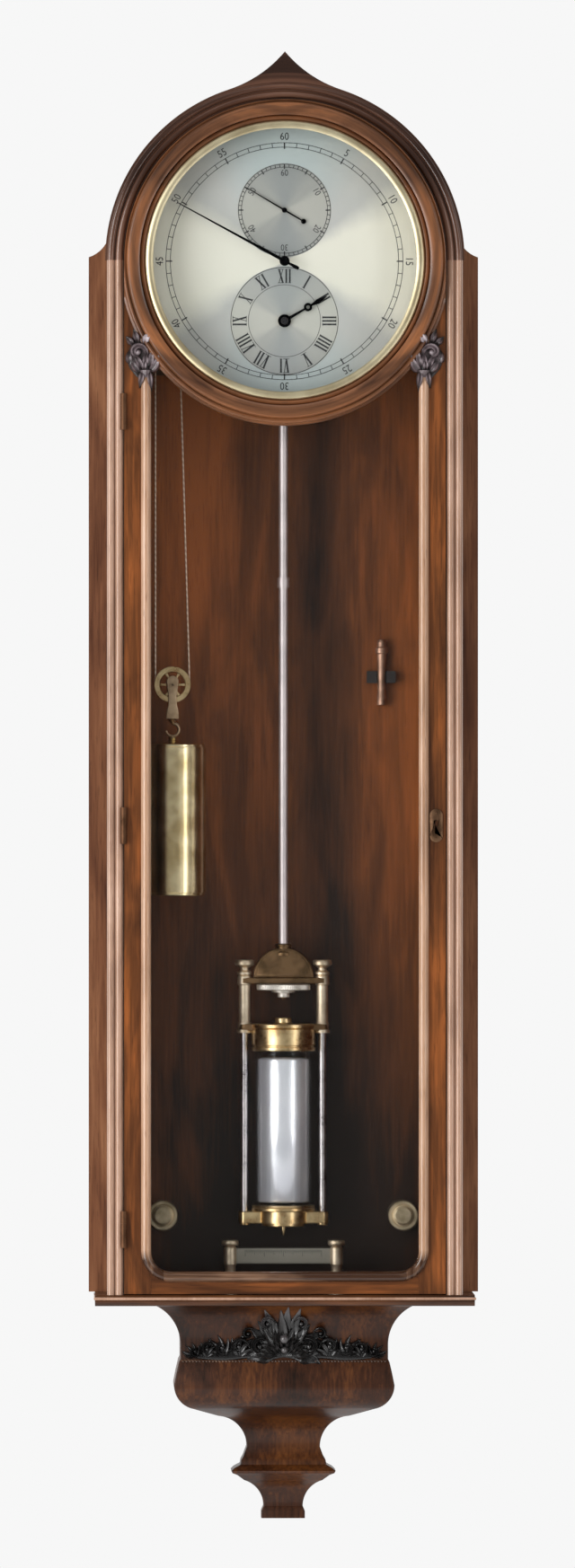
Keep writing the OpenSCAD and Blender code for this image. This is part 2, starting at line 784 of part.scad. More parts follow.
// Gut from the drum to the guide pulley and round its upper left
module guide_gut() {
    from = winding_at + (drum_r + gut_r + 1) * lead_n;
    to = guide_at + guide_groove * lead_n;
    wrap = atan2(lead_n[1], lead_n[0]);
    color(gut) at_dial() union() {
        translate([from[0], -gut_at, from[1]])
            rotate([0, 90 - bearing(from, to), 0]) cylinder(r = gut_r, h = norm(to - from), $fn = 16);
        translate([guide_at[0], -gut_at, guide_at[1]]) rotate([90, 0, 0]) rotate([0, 0, wrap])
            rotate_extrude(angle = 180 - wrap, $fn = 64)
                translate([guide_groove, 0]) circle(r = gut_r, $fn = 16);
    }
}

module gut_falls() {
    // Both falls stop short of the pieces that they run up to
    top = [guide_at[0] - guide_groove, guide_at[1]];
    bottom = [weight_pulley_at[0] + groove_r, weight_pulley_at[1]];
    color(gut) at_dial() union() {
        translate([bottom[0], -gut_at, bottom[1]]) rotate([0, 90 - bearing(bottom, top), 0])
            cylinder(r = gut_r, h = norm(top - bottom) - soft_gap, $fn = 16);
        rod_z(gut_r, hook_at[0], gut_at, [weight_pulley_at[1], hook_at[1] - soft_gap]);
    }
}

module gut_loop() {
    color(gut) at_dial() translate([weight_pulley_at[0], -gut_at, weight_pulley_at[1]]) rotate([90, 0, 0])
        rotate([0, 0, 180]) rotate_extrude(angle = 180, $fn = 64)
            translate([groove_r, 0]) circle(r = gut_r, $fn = 16);
}

module centre_wheel() {
    pinion_f = [great_f[0] - 1, great_f[1] + 1];
    color(brass) at_dial() union() {
        rod_f(arbor_r, centre_at, [plate_f[0] - 1, minute_hand_f[0]]);
        rod_f(cannon_r, centre_at, [front_f[1] + 1, minute_hand_f[0]]);
        pinion_teeth(centre_at, pinion_f, pinion_n, great_m, -90);
        crossed_wheel(centre_at, centre_f, centre_n, centre_m, bearing(centre_at, third_at), 5);
        wheel_teeth(centre_at, cannon_f, cannon_n, cannon_m, bearing(centre_at, minute_at));
    }
}

module minute_hand() {
    color(blued) at_dial() union() {
        plate(minute_hand_f) rotate(minute_turn) union() {
            polygon([[-16, -1.2], [0, -1.5], [minute_l, -0.35], [minute_l, 0.35], [0, 1.5], [-16, 1.2]]);
            circle(r = 5);
        }
        rod_f(3.8, centre_at, [minute_hand_f[1], minute_hand_f[1] + 2.5]);
    }
}

module third_wheel() {
    pinion_f = [centre_f[0] - 1, centre_f[1] + 1];
    color(brass) at_dial() union() {
        rod_f(arbor_r, third_at, [plate_f[0], front_f[1]]);
        pinion_teeth(third_at, pinion_f, pinion_n, centre_m,
                     bearing(centre_at, third_at) + 180 + 180 / pinion_n);
        crossed_wheel(third_at, third_f, third_n, third_m, bearing(third_at, escape_at), 5);
    }
}

module escape_wheel() {
    pinion_f = [third_f[0] - 1, third_f[1] + 1];
    tooth_h = 4.5;
    color(brass) at_dial() union() {
        rod_f(arbor_r - run_gap, escape_at, [plate_f[0], seconds_hand_f[0]]);
        pinion_teeth(escape_at, pinion_f, pinion_n, third_m,
                     bearing(third_at, escape_at) + 180 + 180 / pinion_n);
        difference() {
            plate(escape_f) translate(escape_at) polygon([for (i = [0:escape_n - 1])
                let (a = 360 * i / escape_n)
                each [tooth(escape_r - tooth_h, a - 5), tooth(escape_r, a - 5.8),
                      tooth(escape_r, a - 5), tooth(escape_r - tooth_h, a)]]);
            crossings(escape_at, escape_f, escape_r - 7.5, 6, 5, 2.5);
        }
    }
}

module seconds_hand() {
    color(blued) at_dial() plate(seconds_hand_f) translate(escape_at) rotate(seconds_turn) union() {
        polygon([[-24, -0.5], [0, -0.8], [seconds_l, -0.3], [seconds_l, 0.3], [0, 0.8], [-24, 0.5]]);
        circle(r = 2.6);
        translate([-22, 0]) circle(r = 2.6);
    }
}

module great_wheel() {
    color(brass) at_dial() difference() {
        crossed_wheel(winding_at, great_f, great_n, great_m, 90 + 180 / great_n, 6);
        rod_f(drum_arbor_r + run_gap, winding_at, [great_f[0] - 1, great_f[1] + 1]);
        rod_f(click_pin_r + run_gap, click_at, [great_f[0] - 1, great_f[1] + 1]);
    }
}

// Pawl on the great wheel's rim, its beak just clear of the ratchet's teeth
module click() {
    beak = winding_at + [-18.2, 12];
    color(steel) at_dial() union() {
        plate([ratchet_f[0], ratchet_f[1] + 0.3]) hull() {
            translate(click_at) circle(r = 3, $fn = 24);
            translate(beak) circle(r = 1.2, $fn = 24);
        }
        rod_f(click_pin_r, click_at, [ratchet_f[1], great_f[1]]);
    }
}

module drum() {
    square_f = [hour_hand_f[1] + 1, hour_hand_f[1] + 4];
    square_w = 4.8;
    flange = 2;
    flange_t = 1.5;
    turns = 9;
    wound = [drum_f[0] + flange_t, drum_f[1] - flange_t];
    pitch = (wound[1] - wound[0]) / (2 * turns);
    teeth = 30;
    color(brass) at_dial() union() {
        rod_f(drum_arbor_r, winding_at, [plate_f[0], square_f[0]]);
        plate(square_f) translate(winding_at) square(square_w, center = true);
        turned(winding_at) polygon(concat(
            [[0, drum_f[0]], [drum_r + flange, drum_f[0]], [drum_r + flange, wound[0]]],
            [for (i = [0:2 * turns]) [drum_r + (i % 2 == 0 ? -gut_r : gut_r), wound[0] + i * pitch]],
            [[drum_r + flange, wound[1]], [drum_r + flange, drum_f[1]], [0, drum_f[1]]]));
        plate(ratchet_f) translate(winding_at) polygon([for (i = [0:teeth - 1]) let (a = 360 * i / teeth)
            each [tooth(ratchet_r - 2.4, a), tooth(ratchet_r, a + 1), tooth(ratchet_r, a + 2)]]);
    }
}

module intermediate_wheel() {
    color(brass) at_dial() difference() {
        union() {
            wheel_teeth(minute_at, cannon_f, minute_n, cannon_m, bearing(centre_at, minute_at) + 183);
            rod_f(3, minute_at, [cannon_f[0], hour_f[1]]);
            pinion_teeth(minute_at, [hour_f[0] - 0.5, hour_f[1] + 0.5], minute_pinion_n, hour_m,
                         bearing(minute_at, winding_at));
        }
        rod_f(stud_r + run_gap, minute_at, [cannon_f[0] - 1, hour_f[1] + 2]);
    }
}

module hour_wheel() {
    color(brass) at_dial() difference() {
        union() {
            wheel_teeth(winding_at, hour_f, hour_n, hour_m, bearing(minute_at, winding_at) + 183);
            rod_f(hour_pipe_r, winding_at, [hour_f[0], hour_hand_f[0]]);
        }
        rod_f(hour_pivot_r, winding_at, [hour_f[0] - 1, hour_hand_f[0] + 1]);
    }
}

module hour_hand() {
    color(blued) at_dial() difference() {
        plate(hour_hand_f) translate(winding_at) rotate(hour_turn) union() {
            polygon([[0, -1.3], [hour_l, -0.5], [hour_l, 0.5], [0, 1.3]]);
            circle(r = 6.5);
            translate([26, 0]) circle(r = 4);
        }
        rod_f(hour_pivot_r, winding_at, [hour_hand_f[0] - 1, hour_hand_f[1] + 1]);
    }
}

// Anchor with two pallets, its arbor and the crutch that takes the pendulum
module pallets() {
    pivot = [0, pivot_z];
    nib_r = escape_r + 2;
    nib_a = 63;
    nib = escape_at + nib_r * [sin(nib_a), cos(nib_a)];
    out = escape_at + (nib_r + 5) * [sin(nib_a - 4), cos(nib_a - 4)];
    fork_z = 12;
    color(steel) at_dial() union() {
        rod_f(arbor_r, pivot, [swing_at + 9.5, front_f[1]]);
        plate([escape_f[0] - 0.5, escape_f[1] + 0.5]) union() {
            translate(pivot) circle(r = 6);
            both_leaves()
                polygon([pivot + [0, 4], out, nib + [1.5, -2], nib, nib + [-1, 5], pivot + [-3, -4]]);
        }
        slab([-3, 3], [swing_at + 9.5, swing_at + 11.5], [fork_z, pivot_z + 4]);
        slab([-8.5, 8.5], [swing_at + 9.5, swing_at + 11.5], [fork_z - 3, fork_z + 3]);
        for (x = [-rod_r - 2.4, rod_r + 2.4]) rod_f(1.5, [x, fork_z], [swing_at - 4, swing_at + 9.5]);
    }
}

module suspension_spring() {
    pin_r = hinge_pin_r + 0.3;
    color(steel) at_dial() union() {
        rod_f(pin_r, [0, pivot_z], [swing_at - 9, swing_at + 9]);
        slab([-4, 4], [swing_at - 4.5, swing_at + 4.5], [pivot_z - 10, pivot_z + 4]);
        slab([-0.4, 0.4], [swing_at - 4, swing_at + 4], [pivot_z - 34, pivot_z - 10]);
        slab([-4, 4], [swing_at - 4.5, swing_at + 4.5], [pivot_z - 44, pivot_z - 34]);
    }
}

module pendulum_rod() {
    joint_z = -318;
    color(steel) at_dial() union() {
        rod_z(rod_r, 0, swing_at, [-yoke_drop - 8, pivot_z - 44]);
        rod_z(rod_r + 1.2, 0, swing_at, [joint_z - 5, joint_z + 5]);
    }
}

// Arched brass yoke with the threaded rod of the rating nut
module jar_yoke() {
    color(brass) at_dial() difference() {
        union() {
            plate([swing_at - 8, swing_at + 8]) intersection() {
                translate([-yoke_half, yoke_foot]) square([2 * yoke_half, yoke_h - 4]);
                translate([0, yoke_foot]) circle(r = yoke_half);
            }
            rod_z(8, 0, swing_at, [yoke_foot, -yoke_drop]);
            rod_z(rod_screw_r, 0, swing_at, [rating_z[0] - 7, yoke_foot]);
        }
        rod_z(rod_r, 0, swing_at, [-yoke_drop - 8, -yoke_drop + 1]);
    }
}

// Cross bars, posts and steel side rods that hang the jar
module jar_frame() {
    post_r = 6;
    knob_r = 9.5;
    knob_step = 6;
    color(brass) at_dial() difference() {
        union() {
            slab([-bar_half, bar_half], bar_f, top_bar_z);
            slab([-bar_half, bar_half], bar_f, mid_bar_z);
            both_sides() union() {
                rod_z(post_r, side_rod_x, swing_at, [mid_bar_z[0], top_bar_z[1] + knob_step]);
                rod_z(post_r * 0.75, side_rod_x, swing_at, [top_bar_z[1] + knob_step, top_bar_z[1] + 2 * knob_step]);
                rod_z(knob_r, side_rod_x, swing_at, [top_bar_z[1] + 2 * knob_step, top_bar_z[1] + 3 * knob_step]);
                rod_z(side_rod_r, side_rod_x, swing_at, [base_bar_z[1], mid_bar_z[0]]);
            }
        }
        rod_z(rod_screw_r, 0, swing_at, [top_bar_z[0] - 1, top_bar_z[1] + 1]);
        rod_z(collar_r, 0, swing_at, [mid_bar_z[0] - 1, mid_bar_z[1] + 1]);
    }
}

module rating_nut() {
    color(steel) at_dial() difference() {
        union() {
            rod_z(rating_r, 0, swing_at, [rating_z[0] + 2, rating_z[1]]);
            rod_z(12, 0, swing_at, [rating_z[0], rating_z[0] + 2]);
            rod_z(6, 0, swing_at, [rating_z[0] - 5, rating_z[0]]);
        }
        rod_z(rod_screw_r + run_gap, 0, swing_at, [rating_z[0] - 8, rating_z[1] + 1]);
    }
}

module jar_collar() {
    color(brass) at_dial() union() {
        rod_z(collar_r, 0, swing_at, [jar_top, mid_bar_z[1]]);
        rod_z(rod_r + 4, 0, swing_at, [mid_bar_z[1], mid_bar_z[1] + 6]);
    }
}

module glass_jar() {
    color("#cfe0e4") at_dial() difference() {
        rod_z(jar_r, 0, swing_at, [jar_foot, jar_top]);
        rod_z(jar_r - jar_wall, 0, swing_at, [jar_foot + 3, jar_top + 1]);
    }
}

module mercury() {
    color("#d4d6da") at_dial() rod_z(jar_r - jar_wall, 0, swing_at, [jar_foot + 3, jar_top - 6]);
}

module jar_base() {
    color(brass) at_dial() union() {
        rod_z(collar_r, 0, swing_at, [jar_foot - 6, jar_foot]);
        slab([-bar_half, bar_half], bar_f, base_bar_z);
        rod_z(21, 0, swing_at, [base_bar_z[0] - 3, base_bar_z[0]]);
        translate([0, -swing_at, base_bar_z[0] - 12]) cylinder(r1 = 0.8, r2 = 2.5, h = 9);
    }
}

module weight_shell() {
    x = weight_pulley_at[0];
    color(brass) at_dial() union() {
        rod_z(weight_r, x, gut_at, [weight_top - weight_h + 3, weight_top - 3]);
        rod_z(weight_r - 1.5, x, gut_at, [weight_top - weight_h, weight_top]);
        rod_z(5, x, gut_at, [weight_top, weight_top + 8]);
    }
}

// Stirrup round the pulley with the hook that carries the weight
module pulley_stirrup() {
    x = weight_pulley_at[0];
    z = weight_pulley_at[1];
    color(brass) at_dial() union() {
        rod_f(arbor_r, weight_pulley_at, [gut_at - 9, gut_at + 9]);
        slab([x - 6, x + 6], [gut_at - 9, gut_at - 6.5], [z - 30, z + 9]);
        slab([x - 6, x + 6], [gut_at + 6.5, gut_at + 9], [z - 30, z + 9]);
        slab([x - 6, x + 6], [gut_at - 9, gut_at + 9], [z - 34, z - 30]);
        rod_z(2.5, x, gut_at, [weight_top + 8, z - 34]);
    }
}

module weight_pulley() {
    at = weight_pulley_at;
    color(brass) at_dial() difference() {
        pulley(at, pulley_r, groove_r, 5, 5);
        crossings(at, [gut_at - 4, gut_at + 4], groove_r - 4.5, 5, 6, 2.2);
    }
}

// Screw through the backboard whose tip bears on the wall
module steady_screw(side) {
    at = [side * steady_x, -steady_drop];
    head = back_t + steady_throw + 2.5;
    color(brass) at_dial() union() {
        rod_f(steady_r, at, [0.5, head]);
        rod_f(steady_head_r, at, [head, head + 8]);
        rod_f(steady_head_r - 5, at, [head + 8, head + 11]);
    }
}

module steady_screw_left() {
    steady_screw(-1);
}

module steady_screw_right() {
    steady_screw(1);
}

// Outline of the trunk's glass opening, grown by g
module sight_outline(g) {
    r = corner_r + g;
    half = sight_half + g;
    foot = sight_foot - g;
    union() {
        translate([-half, foot + r]) square([2 * half, -foot - r]);
        translate([-half + r, foot]) square([2 * half - 2 * r, r + 1]);
        for (x = [-half + r, half - r]) translate([x, foot + r]) circle(r = r);
    }
}

// Outline of the trunk glass, grown by g
module pane_outline(g) {
    difference() {
        translate([-pane_half - g, pane_foot - g]) square([2 * (pane_half + g), -pane_foot - 60]);
        circle(r = pane_top_r - g, $fn = 128);
    }
}

// Two stiles and the bottom rail, in one plane
module door_frame() {
    color(walnut) at_dial() difference() {
        union() {
            both_sides() plate([door_back, door_face]) difference() {
                translate([sight_half, door_foot]) square([stile_w, -door_foot]);
                circle(r = ring_r + seat_gap, $fn = 128);
            }
            plate([door_back, door_face]) difference() {
                translate([-sight_half + seat_gap, door_foot])
                    square([2 * (sight_half - seat_gap), rail_h + corner_r]);
                sight_outline(0);
            }
        }
        plate([door_back - 1, pane_at + pane_t]) pane_outline(soft_gap);
        slab([bolt_in - soft_gap, door_half + 1], bolt_f + [-soft_gap, soft_gap],
             [lock_z - bolt_h / 2 - soft_gap, lock_z + bolt_h / 2 + soft_gap]);
        for (z = hinge_heights)
            slab([-door_half - 1, -door_half + leaf_t], [door_face - leaf_w, door_face + 1],
                 [z - knuckle_l * 1.5, z + knuckle_l * 1.5]);
    }
}

// Turned ring that frames the dial, trimmed to the door's width
module dial_ring() {
    d = door_face;
    mid = (ring_in + ring_r) / 2;
    section = concat([[ring_in, door_back], [ring_r, door_back], [ring_r, d + 2]],
                     arc([ring_r - 3, d + 3.5], 2.6, 0, 120, 4),
                     [[ring_r - 6, d + 4.5]],
                     arc([mid - 0.5, d + 4.5], ring_proud - 4.6, 12, 168, 10),
                     [[ring_in + 3.4, d + 4.5], [ring_in, d + 3]]);
    color(ring_wood) at_dial() difference() {
        intersection() {
            turned(centre_at) polygon(section);
            plate([door_back - 1, ring_face + 1]) union() {
                circle(r = door_half, $fn = 128);
                translate([-door_half, -ring_r - 1]) square([2 * door_half, ring_r + 1]);
            }
        }
        plate([door_back - 1, pane_at + pane_t]) pane_outline(soft_gap);
    }
}

module brass_bezel() {
    seat = lens_at + lens_t;
    color(brass) at_dial() turned(centre_at) polygon(concat(
        [[lens_r + 0.4, door_back + 2], [bezel_r, door_back + 2], [bezel_r, bezel_face - 9]],
        arc([bezel_r - 3.2, bezel_face - 9], 3.2, 0, 90, 5),
        [[sight_r + 2.2, bezel_face - 7], [sight_r, seat + 1], [sight_r, seat], [lens_r + 0.4, seat]]));
}

module glass_panes() {
    color("#dfe9ea", 0.3) at_dial() union() {
        rod_f(lens_r, centre_at, [lens_at, lens_at + lens_t]);
        plate([pane_at, pane_at + pane_t]) pane_outline(0);
    }
}

// Half-round bead round the trunk's glass opening
module glazing_bead() {
    foot = sight_foot - bead_w / 2;
    turn_r = corner_r + bead_w / 2;
    color(ring_wood) at_dial() difference() {
        union() {
            both_sides() union() {
                rod_z(bead_w / 2, bead_x, door_face, [foot + turn_r, bead_top]);
                translate([bead_x - turn_r, -door_face, foot + turn_r]) rotate([90, 0, 0]) rotate([0, 0, -90])
                    rotate_extrude(angle = 90) translate([turn_r, 0]) circle(r = bead_w / 2, $fn = 32);
            }
            translate([-bead_x + turn_r, -door_face, foot]) rotate([0, 90, 0])
                cylinder(r = bead_w / 2, h = 2 * (bead_x - turn_r));
        }
        slab([-door_half, door_half], [0, door_face], [door_foot - 1, 0]);
    }
}

// Carved leaf and scroll where the ring meets each bead
module carved_brackets() {
    // Each leaf's place and radius, as shares of the bead's width
    leaf = [[0.1, 1.2, 0.9], [0.9, 2.4, 0.9], [1.4, 3.8, 0.7]] * bead_w;
    collar = 0.65 * bead_w;
    color(ebony) at_dial() both_sides() difference() {
        union() {
            translate([bead_x, -door_face, bead_top]) cylinder(r = collar, h = collar);
            for (c = leaf) rod_f(c[2], [bead_x + c[0], bead_top + c[1]], [door_face - 1, door_face + 5]);
            for (c = leaf) rod_f(c[2] - 3, [bead_x + c[0], bead_top + c[1]], [door_face, door_face + 9]);
        }
        slab([0, door_half], [0, door_face], [bead_top - 5, bead_top + 60]);
        rod_f(ring_r + seat_gap, centre_at, [0, ring_face + 10], $fn = 128);
        slab([door_half, door_half + 20], [0, ring_face + 20], [bead_top - 5, bead_top + 60]);
    }
}

module escutcheon() {
    x = door_half - 9.5;
    color(brass) at_dial() plate([door_face, door_face + 1.2]) difference() {
        union() {
            translate([x, lock_z + 10]) circle(r = 6.5);
            translate([x, lock_z - 10]) circle(r = 6.5);
            translate([x - 6.5, lock_z - 10]) square([13, 20]);
        }
        translate([x, lock_z + 3]) circle(r = 2.6);
        translate([x - 1.2, lock_z - 8]) square([2.4, 11]);
    }
}

module lock_bolt() {
    color(brass) at_dial()
        slab([bolt_in, door_half - 0.2], bolt_f, [lock_z - bolt_h / 2, lock_z + bolt_h / 2]);
}

backboard();
case_sides();
flank_boards();
reeded_strips();
hood_shell();
arch_moulding();
base_board();
bracket_body();
bracket_ornament();
hanger_plate();
pendulum_cock();
movement_arms();
beat_plate();
key_clip();
case_hinges();
case_screws();
dial_plate();
front_plate();
back_plate();
guide_bracket();
guide_gut();
centre_wheel();
minute_hand();
third_wheel();
escape_wheel();
seconds_hand();
great_wheel();
click();
drum();
intermediate_wheel();
hour_wheel();
hour_hand();
pallets();
suspension_spring();
pendulum_rod();
jar_yoke();
jar_frame();
jar_collar();
glass_jar();
mercury();
jar_base();
rating_nut();
weight_shell();
pulley_stirrup();
gut_loop();
gut_falls();
weight_pulley();
guide_pulley();
steady_screw_left();
steady_screw_right();
winding_key();
door_frame();
dial_ring();
brass_bezel();
glass_panes();
glazing_bead();
carved_brackets();
escutcheon();
door_hinges();
lock_bolt();
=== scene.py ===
"""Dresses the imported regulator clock: finishes, engraving, carving, glass, gut and studio."""

import logging
import math
from dataclasses import dataclass, field
from enum import Enum
from typing import Callable, NamedTuple, Sequence

import bmesh
import bpy
from mathutils import Matrix, Vector


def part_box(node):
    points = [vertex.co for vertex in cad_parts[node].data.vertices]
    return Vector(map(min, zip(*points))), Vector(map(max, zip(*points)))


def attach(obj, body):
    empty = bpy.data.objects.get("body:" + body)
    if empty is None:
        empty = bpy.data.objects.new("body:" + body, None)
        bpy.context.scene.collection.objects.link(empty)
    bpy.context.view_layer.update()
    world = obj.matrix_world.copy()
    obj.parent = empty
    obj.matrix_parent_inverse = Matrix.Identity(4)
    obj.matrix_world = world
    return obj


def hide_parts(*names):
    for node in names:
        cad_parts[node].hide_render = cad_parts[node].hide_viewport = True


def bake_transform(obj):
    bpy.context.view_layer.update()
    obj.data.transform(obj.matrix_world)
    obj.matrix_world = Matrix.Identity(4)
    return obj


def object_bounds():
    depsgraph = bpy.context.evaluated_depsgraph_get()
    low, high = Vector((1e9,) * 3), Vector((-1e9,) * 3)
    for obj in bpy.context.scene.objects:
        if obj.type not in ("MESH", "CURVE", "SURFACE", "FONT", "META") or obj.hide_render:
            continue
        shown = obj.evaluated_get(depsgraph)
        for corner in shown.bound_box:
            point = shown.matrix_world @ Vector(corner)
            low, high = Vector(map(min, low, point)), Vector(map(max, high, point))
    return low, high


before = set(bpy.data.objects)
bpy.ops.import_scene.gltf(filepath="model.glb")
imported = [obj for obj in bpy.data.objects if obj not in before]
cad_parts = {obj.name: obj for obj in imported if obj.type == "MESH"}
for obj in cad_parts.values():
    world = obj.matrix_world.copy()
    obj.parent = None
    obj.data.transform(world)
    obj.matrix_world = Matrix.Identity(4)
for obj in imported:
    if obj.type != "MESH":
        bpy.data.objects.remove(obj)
log = logging.getLogger("regulator")
CAD_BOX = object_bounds()
IMAGE = (640, 1746)

Flat = tuple[float, float]
Ring = list[Vector]
Tree = bpy.types.NodeTree
Node = bpy.types.Node
Socket = bpy.types.NodeSocket
Source = Node | Socket

# What several sub-assemblies share, in millimetres. DRUM and GUIDE are the axes of the drum and
# the guide pulley, across and above the dial's centre; PLANE is the pendulum's depth
DRUM = (0.0, -59.2)
GUIDE = (-85.5, -108.0)
GUIDE_R = 17.5
GUT_R = 0.8
PLANE = 58.0
# Edges that turn by more than this many degrees stay sharp, unless a piece says otherwise
CREASE = 32.0


class Axis(Enum):
    """Which way a turned piece's axis points."""

    DEPTH = "depth"
    UP = "up"


class Grain(Enum):
    """How the grain of a wooden piece runs."""

    UP = "up"
    ACROSS = "across"
    ROUND = "round"
    FRAMED = "framed"


def dial_height() -> float:
    """Height of the dial's centre in the row frame, in millimetres."""
    low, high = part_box("dial_plate")
    return 500 * (low.z + high.z)


DIAL_Z = dial_height()
# Foremost depth of the clock in millimetres, on the ring round the dial
FRONT = -CAD_BOX[0].y * 1000 - 0.1


def at(x: float, f: float, z: float) -> Vector:
    """Row-frame point in metres, from millimetres.

    Args:
        x: Right of the dial's centre.
        f: Forward of the wall.
        z: Above the dial's centre.

    Returns:
        The point.
    """
    return Vector((x / 1000, -f / 1000, (z + DIAL_Z) / 1000))


class Span(NamedTuple):
    """A CAD node's box: millimetres across (x), forward (y) and above the dial's centre (z)."""

    low: Vector
    high: Vector

    @property
    def x(self) -> float:
        """Its middle across."""
        return (self.low.x + self.high.x) / 2

    @property
    def f(self) -> float:
        """Its middle from back to front."""
        return (self.low.y + self.high.y) / 2

    @property
    def z(self) -> float:
        """The height of its middle."""
        return (self.low.z + self.high.z) / 2

    @property
    def r(self) -> float:
        """Half its width."""
        return (self.high.x - self.low.x) / 2


def span(node: str) -> Span:
    """Where a CAD node stands.

    Args:
        node: The node's name.

    Returns:
        Its box.
    """
    low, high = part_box(node)
    return Span(Vector((low.x * 1000, -high.y * 1000, low.z * 1000 - DIAL_Z)),
                Vector((high.x * 1000, -low.y * 1000, high.z * 1000 - DIAL_Z)))


def linear(code: str) -> tuple[float, float, float, float]:
    """Turns an sRGB colour into a linear one.

    Args:
        code: The colour's hex code, such as #6e3b1f.

    Returns:
        Red, green, blue and alpha.
    """
    parts = [int(code[i:i + 2], 16) / 255 for i in (1, 3, 5)]
    r, g, b = (p / 12.92 if p <= 0.04045 else ((p + 0.055) / 1.055) ** 2.4 for p in parts)
    return (r, g, b, 1.0)


# Finishes


def set_node(tree: Tree, node: Node, settings: dict | None = None,
             links: dict | None = None) -> Node:
    """Gives a shader node its settings and what feeds it.

    Args:
        tree: The node tree.
        node: The node.
        settings: Property or input names with their values; "stops" fills a colour ramp.
        links: Input names or numbers with what feeds them. A node feeds by its first socket.

    Returns:
        The node.
    """
    for key, value in (settings or {}).items():
        if key == "stops":
            ramp = node.color_ramp
            while len(ramp.elements) < len(value):
                ramp.elements.new(0.5)
            for element, (place, code) in zip(ramp.elements, value):
                element.position = place
                element.color = linear(code)
        elif isinstance(key, str) and key in node.bl_rna.properties:
            setattr(node, key, value)
        else:
            node.inputs[key].default_value = value
    for key, source in (links or {}).items():
        socket = source.outputs[0] if isinstance(source, Node) else source
        tree.links.new(socket, node.inputs[key])
    return node


def add_node(tree: Tree, kind: str, settings: dict | None = None,
             links: dict | None = None) -> Node:
    """Adds a shader node of a kind, with settings and links as set_node takes them."""
    return set_node(tree, tree.nodes.new(kind), settings, links)


@dataclass(frozen=True)
class Finish:
    """What a surface is made of and how it was made. Subclasses draw it."""

    name: str
    slot: str

    def material(self) -> bpy.types.Material:
        """The Blender material, made on first use.

        Returns:
            The material.
        """
        made = bpy.data.materials.get(self.name)
        if made is None:
            made = bpy.data.materials.new(self.name)
            made.use_nodes = True
            tree = made.node_tree
            tree.nodes.clear()
            shader = add_node(tree, "ShaderNodeBsdfPrincipled")
            add_node(tree, "ShaderNodeOutputMaterial", {}, {"Surface": shader})
            self.draw(tree, shader, add_node(tree, "ShaderNodeTexCoord").outputs["Object"])
        return made

    def draw(self, tree: Tree, shader: Node, place: Socket) -> None:
        """Fills the material's nodes.

        Args:
            tree: Its node tree.
            shader: Its principled shader.
            place: Coordinates in metres on the object.
        """
        raise NotImplementedError


